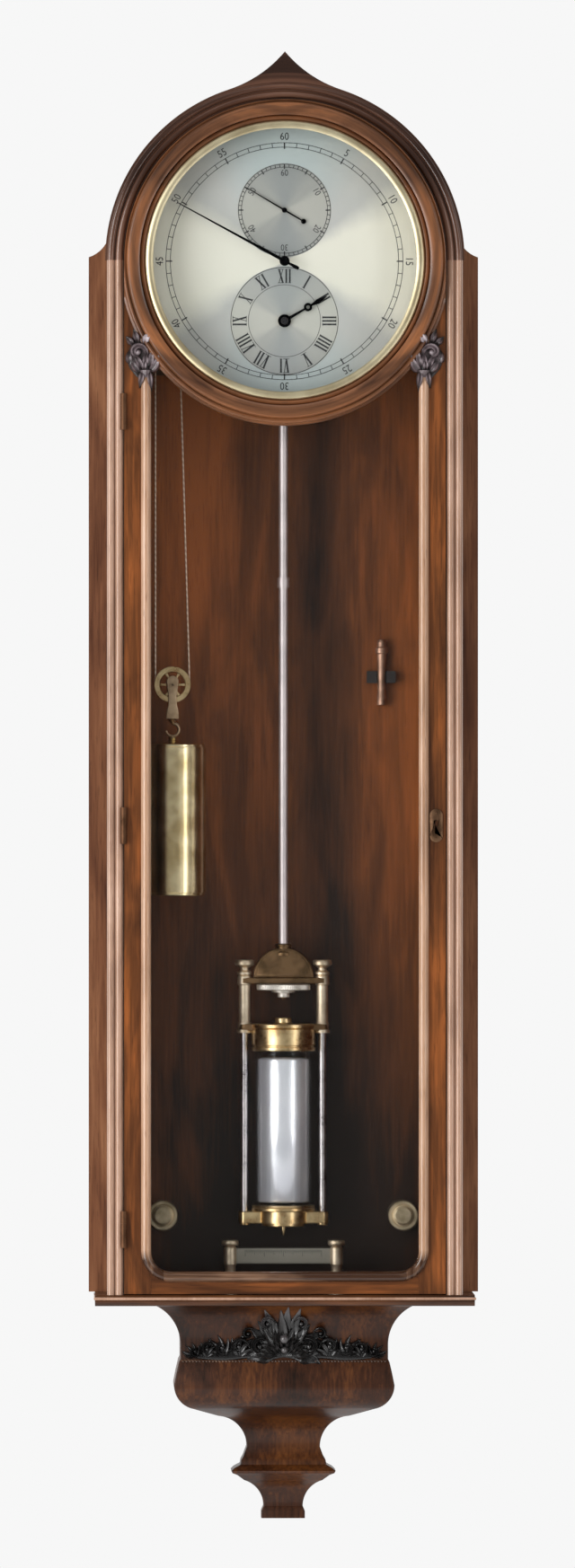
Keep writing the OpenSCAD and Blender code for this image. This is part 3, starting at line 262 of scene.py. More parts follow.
@dataclass(frozen=True)
class PolishedWood(Finish):
    """Veneered hardwood under French polish: slow tone changes, fine streaks, dark pores, a
    clear film that mirrors softly."""

    dark: str
    mid: str
    light: str
    run: Grain = Grain.UP
    figure_mm: float = 42.0
    streak_mm: float = 3.2
    # Walnut's pores are about 0.3 mm wide, drawn as coarse as they need to show
    pore_mm: float = 1.1
    rough: float = 0.3
    film: float = 0.3
    rail_half_mm: float = 132.5
    rail_top_mm: float = -1003.5
    pore: str = "#5a4034"

    def grain_space(self, tree: Tree, place: Socket) -> Source:
        """Coordinates in metres in which the grain runs along Z.

        Args:
            tree: The node tree.
            place: Coordinates on the object.

        Returns:
            What gives the coordinates.
        """
        if self.run is Grain.UP:
            return place
        if self.run is Grain.ROUND:
            return self.round_space(tree, place)
        turned = add_node(tree, "ShaderNodeMapping", {"Rotation": (0, math.pi / 2, 0)},
                          {"Vector": place})
        if self.run is Grain.ACROSS:
            return turned
        # The rail lies between the stiles, below the sight of the glass.
        spot = add_node(tree, "ShaderNodeSeparateXYZ", {}, {0: place})
        wide = add_node(tree, "ShaderNodeMath", {"operation": "ABSOLUTE"}, {0: spot.outputs["X"]})
        inside = add_node(tree, "ShaderNodeMath",
                          {"operation": "LESS_THAN", 1: self.rail_half_mm / 1000}, {0: wide})
        under = add_node(tree, "ShaderNodeMath",
                         {"operation": "LESS_THAN", 1: (DIAL_Z + self.rail_top_mm) / 1000},
                         {0: spot.outputs["Z"]})
        rail = add_node(tree, "ShaderNodeMath", {"operation": "MULTIPLY"}, {0: inside, 1: under})
        return add_node(tree, "ShaderNodeMix", {"data_type": "VECTOR"},
                        {0: rail, 4: place, 5: turned}).outputs[1]

    def round_space(self, tree: Tree, place: Socket) -> Source:
        """Coordinates in which the grain runs round the dial's centre; see grain_space."""
        centred = add_node(tree, "ShaderNodeMapping", {"Location": (0, 0, -DIAL_Z / 1000)},
                           {"Vector": place})
        parts = add_node(tree, "ShaderNodeSeparateXYZ", {}, {0: centred})
        aside = add_node(tree, "ShaderNodeMath", {"operation": "ABSOLUTE"},
                         {0: parts.outputs["X"]})
        turn = add_node(tree, "ShaderNodeMath", {"operation": "ARCTAN2"},
                        {0: aside, 1: parts.outputs["Z"]})
        # One radian is about 150 mm of grain on this arch.
        along = add_node(tree, "ShaderNodeMath", {"operation": "MULTIPLY", 1: 0.15}, {0: turn})
        flat = add_node(tree, "ShaderNodeCombineXYZ", {},
                        {"X": parts.outputs["X"], "Y": parts.outputs["Z"]})
        out = add_node(tree, "ShaderNodeVectorMath", {"operation": "LENGTH"}, {0: flat})
        return add_node(tree, "ShaderNodeCombineXYZ", {},
                        {"X": out.outputs["Value"], "Y": parts.outputs["Y"], "Z": along})

    def draw(self, tree: Tree, shader: Node, place: Socket) -> None:
        """Fills the material's nodes; see Finish.draw."""
        space = self.grain_space(tree, place)
        layers = []
        for size, stretch, detail, warp in ((self.figure_mm, 5.0, 3.0, 1.2),
                                            (self.streak_mm, 26.0, 2.0, 0.4),
                                            (self.pore_mm, 16.0, 1.0, 0.0)):
            squeezed = add_node(tree, "ShaderNodeMapping", {"Scale": (1, 1, 1 / stretch)},
                                {"Vector": space})
            layers.append(add_node(tree, "ShaderNodeTexNoise",
                                   {"Scale": 1000 / size, "Detail": detail, "Distortion": warp},
                                   {"Vector": squeezed}).outputs["Fac"])
        figure, streak, pore = layers
        tone = add_node(tree, "ShaderNodeMix", {"Factor": 0.32}, {2: figure, 3: streak})
        colour = add_node(tree, "ShaderNodeValToRGB",
                          {"stops": ((0.34, self.dark), (0.5, self.mid), (0.66, self.light))},
                          {"Fac": self.shaded(tree, tone, place)})
        open_pores = add_node(tree, "ShaderNodeMapRange",
                              {"From Min": 0.6, "From Max": 0.74, "To Min": 0.0, "To Max": 0.34},
                              {"Value": pore})
        veneer = add_node(tree, "ShaderNodeMix",
                          {"data_type": "RGBA", "blend_type": "MULTIPLY", 7: linear(self.pore)},
                          {0: open_pores, 6: colour})
        polish = add_node(tree, "ShaderNodeMapRange",
                          {"To Min": self.rough - 0.06, "To Max": self.rough + 0.08},
                          {"Value": streak})
        relief = add_node(tree, "ShaderNodeBump",
                          {"Strength": 0.18, "Distance": 0.00005, "invert": True},
                          {"Height": pore})
        set_node(tree, shader,
                 {"IOR": 1.5, "Specular IOR Level": 0.3, "Coat Weight": self.film,
                  "Coat Roughness": 0.09, "Coat IOR": 1.52},
                 {"Base Color": veneer.outputs[2], "Roughness": polish, "Normal": relief})

    def shaded(self, tree: Tree, tone: Source, place: Socket) -> Source:
        """The tone that picks the colour. Plain wood takes the grain's tone as it is.

        Args:
            tree: The node tree.
            tone: The grain's tone.
            place: Coordinates on the object.

        Returns:
            The tone of the finish.
        """
        return tone


@dataclass(frozen=True)
class PaintedShadeWood(PolishedWood):
    """Moulding whose grain is evened out and lifted paler, with painted shade that darkens it from
    one height to another; both heights are measured from the dial's centre."""

    even: float = 0.45
    pale: float = 0.29
    # Where the painted shade starts and where it is full, and how much it darkens the tone
    shade_from_mm: float = -980.0
    shade_full_mm: float = -992.0
    shade_depth: float = 0.16

    def shaded(self, tree: Tree, tone: Source, place: Socket) -> Source:
        """Evens out the grain and paints shade on it by height; see PolishedWood.shaded."""
        even = add_node(tree, "ShaderNodeMath",
                        {"operation": "MULTIPLY_ADD", 1: self.even, 2: self.pale}, {0: tone})
        parts = add_node(tree, "ShaderNodeSeparateXYZ", {}, {0: place})
        # Painted shade: the tone grows darker from one height to the other
        wear_and_painted_light = add_node(tree, "ShaderNodeMapRange",
                        {"From Min": (DIAL_Z + self.shade_from_mm) / 1000,
                         "From Max": (DIAL_Z + self.shade_full_mm) / 1000, "To Min": 0.0,
                         "To Max": -self.shade_depth}, {"Value": parts.outputs["Z"]})
        return add_node(tree, "ShaderNodeMath", {"operation": "ADD"}, {0: even, 1: wear_and_painted_light})


@dataclass(frozen=True)
class FlameBoard(PolishedWood):
    """Flame veneer of the backboard: one soft dark streak right of the middle between glowing
    orange wings, darker towards the foot."""

    wing_mm: float = 95.0
    heart_mm: float = 26.0
    reach_mm: float = 160.0

    def shaded(self, tree: Tree, tone: Source, place: Socket) -> Source:
        """Adds the streak, wings and foot to the grain; see PolishedWood.shaded."""
        slow = add_node(tree, "ShaderNodeMapping", {"Scale": (1, 1, 0.35)}, {"Vector": place})
        drift = add_node(tree, "ShaderNodeTexNoise", {"Scale": 9.0, "Detail": 2.0},
                         {"Vector": slow})
        parts = add_node(tree, "ShaderNodeSeparateXYZ", {}, {0: place})
        # The streak wanders about a line some 33 mm right of the middle.
        wander = add_node(tree, "ShaderNodeMath", {"operation": "MULTIPLY_ADD", 1: 0.07},
                          {0: drift.outputs["Fac"], 2: parts.outputs["X"]})
        centred = add_node(tree, "ShaderNodeMath", {"operation": "SUBTRACT", 1: 0.068},
                           {0: wander})
        aside = add_node(tree, "ShaderNodeMath", {"operation": "ABSOLUTE"}, {0: centred})
        share = add_node(tree, "ShaderNodeMath",
                         {"operation": "DIVIDE", 1: self.reach_mm / 1000}, {0: aside})
        board = add_node(tree, "ShaderNodeFloatCurve", {}, {"Value": share})
        curve = board.mapping.curves[0]
        curve.points[0].location = (0.0, 0.33)
        curve.points[1].location = (1.0, 0.5)
        heart = self.heart_mm / self.reach_mm
        for spot in ((heart * 0.5, 0.37), (heart, 0.46), (heart * 1.8, 0.53),
                     (self.wing_mm / self.reach_mm, 0.6), (0.82, 0.58)):
            curve.points.new(*spot)
        board.mapping.update()
        foot = add_node(tree, "ShaderNodeMapRange",
                        {"From Min": -1.2, "From Max": -0.7, "To Min": -0.26, "To Max": 0.0},
                        {"Value": parts.outputs["Z"]})
        heart_only = add_node(tree, "ShaderNodeMapRange",
                              {"From Min": 0.15, "From Max": 0.09, "To Min": 0.25, "To Max": 1.0},
                              {"Value": aside})
        deep = add_node(tree, "ShaderNodeMath", {"operation": "MULTIPLY"},
                        {0: foot, 1: heart_only})
        # The left wing glows near the top and dulls half way down.
        glow = add_node(tree, "ShaderNodeMapRange",
                        {"From Min": -0.64, "From Max": -0.42, "To Min": -0.07, "To Max": 0.12},
                        {"Value": parts.outputs["Z"]})
        left = add_node(tree, "ShaderNodeMapRange",
                        {"From Min": -0.02, "From Max": -0.06, "To Min": 0.0, "To Max": 1.0},
                        {"Value": parts.outputs["X"]})
        wing_tone = add_node(tree, "ShaderNodeMath", {"operation": "MULTIPLY_ADD"},
                             {0: glow, 1: left, 2: deep})
        mixed = add_node(tree, "ShaderNodeMix", {"Factor": 0.42}, {2: board, 3: tone})
        return add_node(tree, "ShaderNodeMath", {"operation": "ADD"}, {0: mixed, 1: wing_tone})


@dataclass(frozen=True)
class EbonisedCarving(Finish):
    """Carved hardwood stained black and waxed, with painted light: painted shade makes it near
    black in the hollows, and what stands out is silvery grey and glossy, partly from wear and
    partly a painted highlight."""

    # Depth at which the carving starts, how far it stands out, and the size of a rubbed patch
    ground_mm: float = 170.0
    rise_mm: float = 10.0
    patch_mm: float = 6.25
    # Colours of the painted shade in the hollows, of the stain, and of the raised parts, which are
    # partly wear and partly painted highlight
    deep: str = "#241c1a"
    black: str = "#65575a"
    wear_and_painted_light: str = "#b5a9ad"

    def draw(self, tree: Tree, shader: Node, place: Socket) -> None:
        """Fills the material's nodes; see Finish.draw."""
        rubbed = add_node(tree, "ShaderNodeTexNoise",
                          {"Scale": 1000 / self.patch_mm, "Detail": 3.0},
                          {"Vector": place}).outputs["Fac"]
        parts = add_node(tree, "ShaderNodeSeparateXYZ", {}, {0: place})
        # Painted light by depth: darker in the hollows as shade, paler on the raised parts as a
        # highlight
        painted_relief_light = add_node(tree, "ShaderNodeMapRange",
                         {"From Min": -self.ground_mm / 1000,
                          "From Max": -(self.ground_mm + self.rise_mm) / 1000,
                          "To Min": 0.0, "To Max": 0.75}, {"Value": parts.outputs["Y"]})
        wear_and_painted_light = add_node(tree, "ShaderNodeMath", {"operation": "MULTIPLY_ADD", 1: 0.35},
                        {0: rubbed, 2: painted_relief_light})
        colour = add_node(tree, "ShaderNodeValToRGB",
                          {"stops": ((0.3, self.deep), (0.6, self.black), (0.92, self.wear_and_painted_light))},
                          {"Fac": wear_and_painted_light})
        wax = add_node(tree, "ShaderNodeMapRange", {"To Min": 0.24, "To Max": 0.42},
                       {"Value": rubbed})
        relief = add_node(tree, "ShaderNodeBump", {"Strength": 0.4, "Distance": 0.0002},
                          {"Height": rubbed})
        set_node(tree, shader, {"Coat Weight": 0.42, "Coat Roughness": 0.16},
                 {"Base Color": colour, "Roughness": wax, "Normal": relief})


@dataclass(frozen=True)
class Metal(Finish):
    """Metal with a faint cloud of tarnish and fine polishing marks across it."""

    bright: str
    dull: str
    rough: float
    spread: float
    # Polishing marks are finer than 0.1 mm, drawn as coarse as they need to show
    mark_mm: float = 0.6
    cloud_mm: float = 14.0
    metallic: float = 1.0

    def draw(self, tree: Tree, shader: Node, place: Socket) -> None:
        """Fills the material's nodes; see Finish.draw."""
        cloud, marks = (add_node(tree, "ShaderNodeTexNoise",
                                 {"Scale": 1000 / size, "Detail": detail},
                                 {"Vector": place}).outputs["Fac"]
                        for size, detail in ((self.cloud_mm, 4.0), (self.mark_mm, 1.0)))
        colour = add_node(tree, "ShaderNodeValToRGB",
                          {"stops": ((0.36, self.dull), (0.6, self.bright))}, {"Fac": cloud})
        mixed = add_node(tree, "ShaderNodeMix", {"Factor": 0.4}, {2: cloud, 3: marks})
        polish = add_node(tree, "ShaderNodeMapRange",
                          {"From Min": 0.3, "From Max": 0.7, "To Min": self.rough,
                           "To Max": self.rough + self.spread}, {"Value": mixed})
        set_node(tree, shader, {"Metallic": self.metallic},
                 {"Base Color": colour, "Roughness": polish})


@dataclass(frozen=True)
class BrassOnArbor(Metal):
    """Brass wheel on a polished steel arbor: yellow with a grey steel middle and square."""

    up_mm: float = 0.0
    arbor_mm: float = 4.2
    arbor: str = "#4c4a4d"

    def draw(self, tree: Tree, shader: Node, place: Socket) -> None:
        """Fills the material's nodes; see Finish.draw."""
        super().draw(tree, shader, place)
        middle = add_node(tree, "ShaderNodeMapping",
                          {"Location": (0, 0, -(DIAL_Z + self.up_mm) / 1000),
                           "Scale": (1, 0, 1)}, {"Vector": place})
        out = add_node(tree, "ShaderNodeVectorMath", {"operation": "LENGTH"}, {0: middle})
        steel = add_node(tree, "ShaderNodeMath",
                         {"operation": "LESS_THAN", 1: self.arbor_mm / 1000},
                         {0: out.outputs["Value"]})
        brass = shader.inputs["Base Color"].links[0].from_socket
        both = add_node(tree, "ShaderNodeMix", {"data_type": "RGBA", 7: linear(self.arbor)},
                        {0: steel, 6: brass})
        set_node(tree, shader, {}, {"Base Color": both.outputs[2]})


@dataclass(frozen=True)
class SilveredDial(Finish):
    """Brass rubbed with silvering salts and grained round and round, with painted light: a painted
    sheen to the left and right of each centre, and painted shade, cooler and darker, above and
    below."""

    # Colours of the painted sheen to the left and right, of the plain silvering, and of the painted
    # shade above and below
    light: str = "#e9e7da"
    mid: str = "#bfc0bd"
    painted_shade_tone: str = "#b2bdbe"

    def draw(self, tree: Tree, shader: Node, place: Socket) -> None:
        """Fills the material's nodes; see Finish.draw."""
        # Painted sheen and shade by the angle round the centre: paler to the left and right, darker
        # and cooler above and below
        parts = add_node(tree, "ShaderNodeSeparateXYZ", {}, {0: place})
        turn = add_node(tree, "ShaderNodeMath", {"operation": "ARCTAN2"},
                        {0: parts.outputs["Z"], 1: parts.outputs["X"]})
        twice = add_node(tree, "ShaderNodeMath", {"operation": "MULTIPLY", 1: 2.0}, {0: turn})
        painted_sheen = add_node(tree, "ShaderNodeMath", {"operation": "COSINE"}, {0: twice})
        out = add_node(tree, "ShaderNodeVectorMath", {"operation": "LENGTH"}, {0: place})
        # Each pass of the graining leaves a ring about 0.8 mm wide, drawn as coarse as shows.
        rings = add_node(tree, "ShaderNodeTexNoise",
                         {"noise_dimensions": "1D", "Scale": 1200.0, "Detail": 2.0},
                         {"W": out.outputs["Value"]}).outputs["Fac"]
        # Tarnish lies in clouds about 36 mm across.
        wear_and_painted_light = add_node(tree, "ShaderNodeTexNoise", {"Scale": 28.0, "Detail": 3.0},
                        {"Vector": place})
        # The painted sheen and shade set most of the tone
        light = add_node(tree, "ShaderNodeMath", {"operation": "MULTIPLY_ADD", 1: 0.34, 2: 0.42},
                         {0: painted_sheen})
        grained = add_node(tree, "ShaderNodeMath", {"operation": "MULTIPLY_ADD", 1: 0.1},
                           {0: rings, 2: light})
        clouded = add_node(tree, "ShaderNodeMath", {"operation": "MULTIPLY_ADD", 1: 0.1},
                           {0: wear_and_painted_light.outputs["Fac"], 2: grained})
        colour = add_node(tree, "ShaderNodeValToRGB",
                          {"stops": ((0.2, self.painted_shade_tone), (0.48, self.mid), (0.6, self.mid),
                                     (0.76, self.light))}, {"Fac": clouded})
        relief = add_node(tree, "ShaderNodeBump", {"Strength": 0.1, "Distance": 0.00004},
                          {"Height": rings})
        across = add_node(tree, "ShaderNodeTangent", {"direction_type": "RADIAL", "axis": "Y"})
        set_node(tree, shader, {"Metallic": 0.15, "Roughness": 0.42, "Anisotropic": 0.7},
                 {"Base Color": colour, "Normal": relief, "Tangent": across})


@dataclass(frozen=True)
class ClearGlass(Finish):
    """Old drawn glass: almost unseen, a faint green body, a slow waviness in its mirror. Most of
    the light goes straight through, and the covering share refracts and mirrors."""

    tint: str = "#dbe6df"
    clear: str = "#eef3f0"
    cover: float = 0.16
    wave_mm: float = 70.0

    def material(self) -> bpy.types.Material:
        """The Blender material, blended with what is behind it; see Finish.material."""
        made = super().material()
        made.surface_render_method = "BLENDED"
        return made

    def draw(self, tree: Tree, shader: Node, place: Socket) -> None:
        """Fills the material's nodes; see Finish.draw."""
        wave = add_node(tree, "ShaderNodeTexNoise",
                        {"Scale": 1000 / self.wave_mm, "Detail": 1.0},
                        {"Vector": place}).outputs["Fac"]
        colour = add_node(tree, "ShaderNodeValToRGB",
                          {"stops": ((0.3, self.tint), (0.7, self.clear))}, {"Fac": wave})
        relief = add_node(tree, "ShaderNodeBump", {"Strength": 0.05, "Distance": 0.0004},
                          {"Height": wave})
        set_node(tree, shader, {"Roughness": 0.02, "IOR": 1.5, "Transmission Weight": 1.0,
                                "Alpha": self.cover}, {"Base Color": colour, "Normal": relief})


@dataclass(frozen=True)
class TwistedGut(Finish):
    """Twisted gut line, oiled: honey coloured, half clear, with a slanting lay."""

    def draw(self, tree: Tree, shader: Node, place: Socket) -> None:
        """Fills the material's nodes; see Finish.draw."""
        # One turn of the lay in about 6 mm.
        lay = add_node(tree, "ShaderNodeTexWave",
                       {"wave_type": "BANDS", "bands_direction": "DIAGONAL", "Scale": 110.0,
                        "Distortion": 0.6}, {"Vector": place}).outputs["Fac"]
        colour = add_node(tree, "ShaderNodeValToRGB",
                          {"stops": ((0.2, "#c2a18a"), (0.8, "#e6cdb8"))}, {"Fac": lay})
        relief = add_node(tree, "ShaderNodeBump", {"Strength": 0.5, "Distance": 0.0002},
                          {"Height": lay})
        set_node(tree, shader, {"Roughness": 0.38, "Subsurface Weight": 0.15,
                                "Subsurface Radius": (0.002, 0.001, 0.0006)},
                 {"Base Color": colour, "Normal": relief})


@dataclass(frozen=True)
class EngraversWax(Finish):
    """Black wax melted into engraved lines: matt, a little broken up by age."""

    def draw(self, tree: Tree, shader: Node, place: Socket) -> None:
        """Fills the material's nodes; see Finish.draw."""
        # The wax has greyed in patches of about 1.7 mm.
        wear_and_painted_light = add_node(tree, "ShaderNodeTexNoise", {"Scale": 600.0, "Detail": 2.0},
                        {"Vector": place})
        colour = add_node(tree, "ShaderNodeValToRGB",
                          {"stops": ((0.45, "#15161a"), (0.75, "#3a3d42"))},
                          {"Fac": wear_and_painted_light.outputs["Fac"]})
        set_node(tree, shader, {"Roughness": 0.55}, {"Base Color": colour})


# Sawn walnut boards and veneer under polish, grain along each board: deep brown, softly glossy
RAIL = PolishedWood("walnut_base_board", "walnut", "#2f1a0d", "#4e2c15", "#6c4020",
                    run=Grain.ACROSS, film=0.14)
DOOR = PolishedWood("framed_walnut_door", "walnut", "#3e210e", "#623719", "#8f5024",
                    run=Grain.FRAMED, figure_mm=30, film=0.16)
STILE = PolishedWood("walnut_side", "walnut", "#2c1a0f", "#452816", "#5c371f", figure_mm=30)
FLANK = PolishedWood("walnut_flank", "walnut", "#563221", "#7a4d33", "#966545", film=0.2)
BRACKET = PolishedWood("walnut_bracket", "walnut", "#1d0f07", "#3c1f0e", "#633817", figure_mm=70,
                       rough=0.36, film=0.08)
BACK = FlameBoard("flame_walnut_backboard", "dark_walnut", "#241207", "#623516", "#a55a27",
                  figure_mm=40, rough=0.4, film=0.08)
# Planed and turned mouldings: reeds and bead painted pale for the highlights their rounds catch,
# the arch's top and the bead along the foot painted darker as shade; hood near black with old
# polish
REED = PolishedWood("reeded_strip_walnut", "walnut", "#93705b", "#ab866f", "#bd9983",
                    figure_mm=36, rough=0.22, film=0.6)
HOOD = PolishedWood("dark_walnut_hood", "dark_walnut", "#120a06", "#22120b", "#38201a",
                    run=Grain.ROUND)
ARCH = PaintedShadeWood("dark_arch_walnut", "dark_walnut", "#2c1a12", "#5e3f30", "#a07a66",
                  run=Grain.ROUND, rough=0.22, film=0.5, even=0.8, pale=0.17, shade_from_mm=25.0,
                  shade_full_mm=110.0, shade_depth=0.19)
RING = PolishedWood("turned_ring_walnut", "ring_walnut", "#43291a", "#6e472e", "#975f39",
                    run=Grain.ROUND, figure_mm=24, film=0.22)
BEAD = PaintedShadeWood("polished_bead_walnut", "ring_walnut", "#3c2415", "#b0886b", "#d4b198",
                  run=Grain.FRAMED, rough=0.2, film=0.5, rail_half_mm=120.0, rail_top_mm=-984.0)
EBONY = EbonisedCarving("ebonised_leaf_carving", "ebonised")
EBONY_FRIEZE = EbonisedCarving("ebonised_frieze_carving", "ebonised", ground_mm=120.0,
                               rise_mm=14.0, deep="#0c0a0a", black="#1a1817", wear_and_painted_light="#555152")
# Turned brass under lacquer: warm and bright. The drum's is cut through by its steel square
BRASS = Metal("turned_lacquered_brass", "lacquered_brass", "#e6cb9c", "#b8966a", 0.24, 0.12)
ARBOR_BRASS = BrassOnArbor("brass_drum_on_steel_arbor", "lacquered_brass", "#e6cb9c", "#b8966a",
                           0.24, 0.12, up_mm=DRUM[1])
WEIGHT_BRASS = Metal("polished_weight_brass", "lacquered_brass", "#ecd8ae", "#cbb283", 0.21,
                     0.06, cloud_mm=24)
# Brass worn by air and hands: paler or browner, its mirror blurred
AGED_BRASS = Metal("aged_brass", "lacquered_brass", "#dccaab", "#ac9a7c", 0.42, 0.16)
BEZEL = Metal("spun_bezel_brass", "lacquered_brass", "#e4d8b4", "#c9ba95", 0.4, 0.1, cloud_mm=40)
POST_BRASS = Metal("pale_post_brass", "lacquered_brass", "#f0dec6", "#cfbba0", 0.42, 0.1)
STIRRUP_BRASS = Metal("filed_stirrup_brass", "lacquered_brass", "#cdb090", "#a2866a", 0.36, 0.1)
KEY_BRASS = Metal("key_brass", "lacquered_brass", "#d8ad95", "#a88471", 0.46, 0.1)
# Bronzed metal: brown with a dull gleam
YOKE_BRASS = Metal("bronzed_yoke_brass", "lacquered_brass", "#86694c", "#5e4932", 0.34, 0.14)
PLATE_BRONZE = Metal("bronzed_keyhole_plate", "lacquered_brass", "#7d5f48", "#543e2e", 0.4, 0.12)
BRONZED = Metal("bronzed_iron", "polished_steel", "#6f4f3a", "#513828", 0.5, 0.15)
# Drawn or turned steel: cool pale grey; the hands' is heated until it turns blue black
ROD_STEEL = Metal("polished_rod_steel", "polished_steel", "#efe3e3", "#d6cbcc", 0.48, 0.08,
                  cloud_mm=40)
NUT_STEEL = Metal("milled_nut_steel", "polished_steel", "#efe8e0", "#cfc6bc", 0.44, 0.1)
STEEL = Metal("drawn_polished_steel", "polished_steel", "#cfc8c8", "#a9a3a5", 0.24, 0.1,
              cloud_mm=22)
BLUED = Metal("heat_blued_steel", "blued_steel", "#07080b", "#030304", 0.46, 0.1)
# Mercury behind glass: a white mirror that still looks pale where it faces the dark room, so
# only a part of it counts as metal
QUICKSILVER = Metal("quicksilver", "mercury", "#f8f7fe", "#eceaf5", 0.15, 0.04, cloud_mm=60,
                    metallic=0.6)
# Silvering: palest on the dial, greyer on the smaller chapters, yellowed on the beat scale
SILVERED = SilveredDial("silvered_dial", "silvered_brass")
SILVERED_SECONDS = SilveredDial("silvered_seconds", "silvered_brass", "#b4b4ad", "#a1a29e",
                                "#8f9392")
SILVERED_HOURS = SilveredDial("silvered_hours", "silvered_brass", "#c2c2ba", "#adaeaa",
                              "#9a9e9d")
SILVERED_SCALE = SilveredDial("silvered_beat_scale", "silvered_brass", "#c2bcab", "#a7a292",
                              "#8f8a7f")
PANE = ClearGlass("drawn_glass", "clear_glass")
JAR_GLASS = ClearGlass("blown_jar_glass", "clear_glass", cover=0.15, wave_mm=30)
GUT = TwistedGut("twisted_gut", "gut")
WAX = EngraversWax("engravers_wax", "silvered_brass")


def dress(finish: Finish, *nodes: str) -> None:
    """Gives CAD nodes a finish.

    Args:
        finish: The finish.
        nodes: The nodes' names.
    """
    for name in nodes:
        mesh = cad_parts[name].data
        mesh.materials.clear()
        mesh.materials.append(finish.material())
        mesh.shade_smooth()
        mesh.set_sharp_from_angle(angle=math.radians(CREASE))
        log.info("node %s in %s", name, finish.name)


# Shapes


def arc(centre: Flat, radius: float, start: float, end: float, steps: int) -> list[Flat]:
    """Points on an arc.

    Args:
        centre: The arc's centre.
        radius: Its radius.
        start: First angle in degrees, anticlockwise from +X.
        end: Last angle.
        steps: How many chords.

    Returns:
        The points, both ends included.
    """
    turns = [math.radians(start + (end - start) * i / steps) for i in range(steps + 1)]
    return [(centre[0] + radius * math.cos(t), centre[1] + radius * math.sin(t)) for t in turns]


def curl(centre: Flat, radius: float, inner: float, start: float, sweep: float,
         steps: int = 22) -> list[Flat]:
    """A spiral that winds in, as on a carved scroll.

    Args:
        centre: Its eye.
        radius: Distance of its outer end from the eye.
        inner: Distance of its inner end.
        start: Angle of the outer end in degrees.
        sweep: How far it winds, in degrees.
        steps: How many chords.

    Returns:
        The points from the outer end.
    """
    out = []
    for i in range(steps + 1):
        t = i / steps
        r = radius * (inner / radius) ** t
        a = math.radians(start + sweep * t)
        out.append((centre[0] + r * math.cos(a), centre[1] + r * math.sin(a)))
    return out


def bent(start: Flat, angle: float, length: float, bend: float, steps: int = 9) -> list[Flat]:
    """A curved spine for a leaf.

    Args:
        start: Where it grows from.
        angle: Its first direction in degrees.
        length: Its length.
        bend: How far it turns by its tip, in degrees.
        steps: How many chords.

    Returns:
        The points.
    """
    x, z = start
    out = [(x, z)]
    for i in range(steps):
        a = math.radians(angle + bend * (i + 0.5) / steps)
        x += length / steps * math.cos(a)
        z += length / steps * math.sin(a)
        out.append((x, z))
    return out


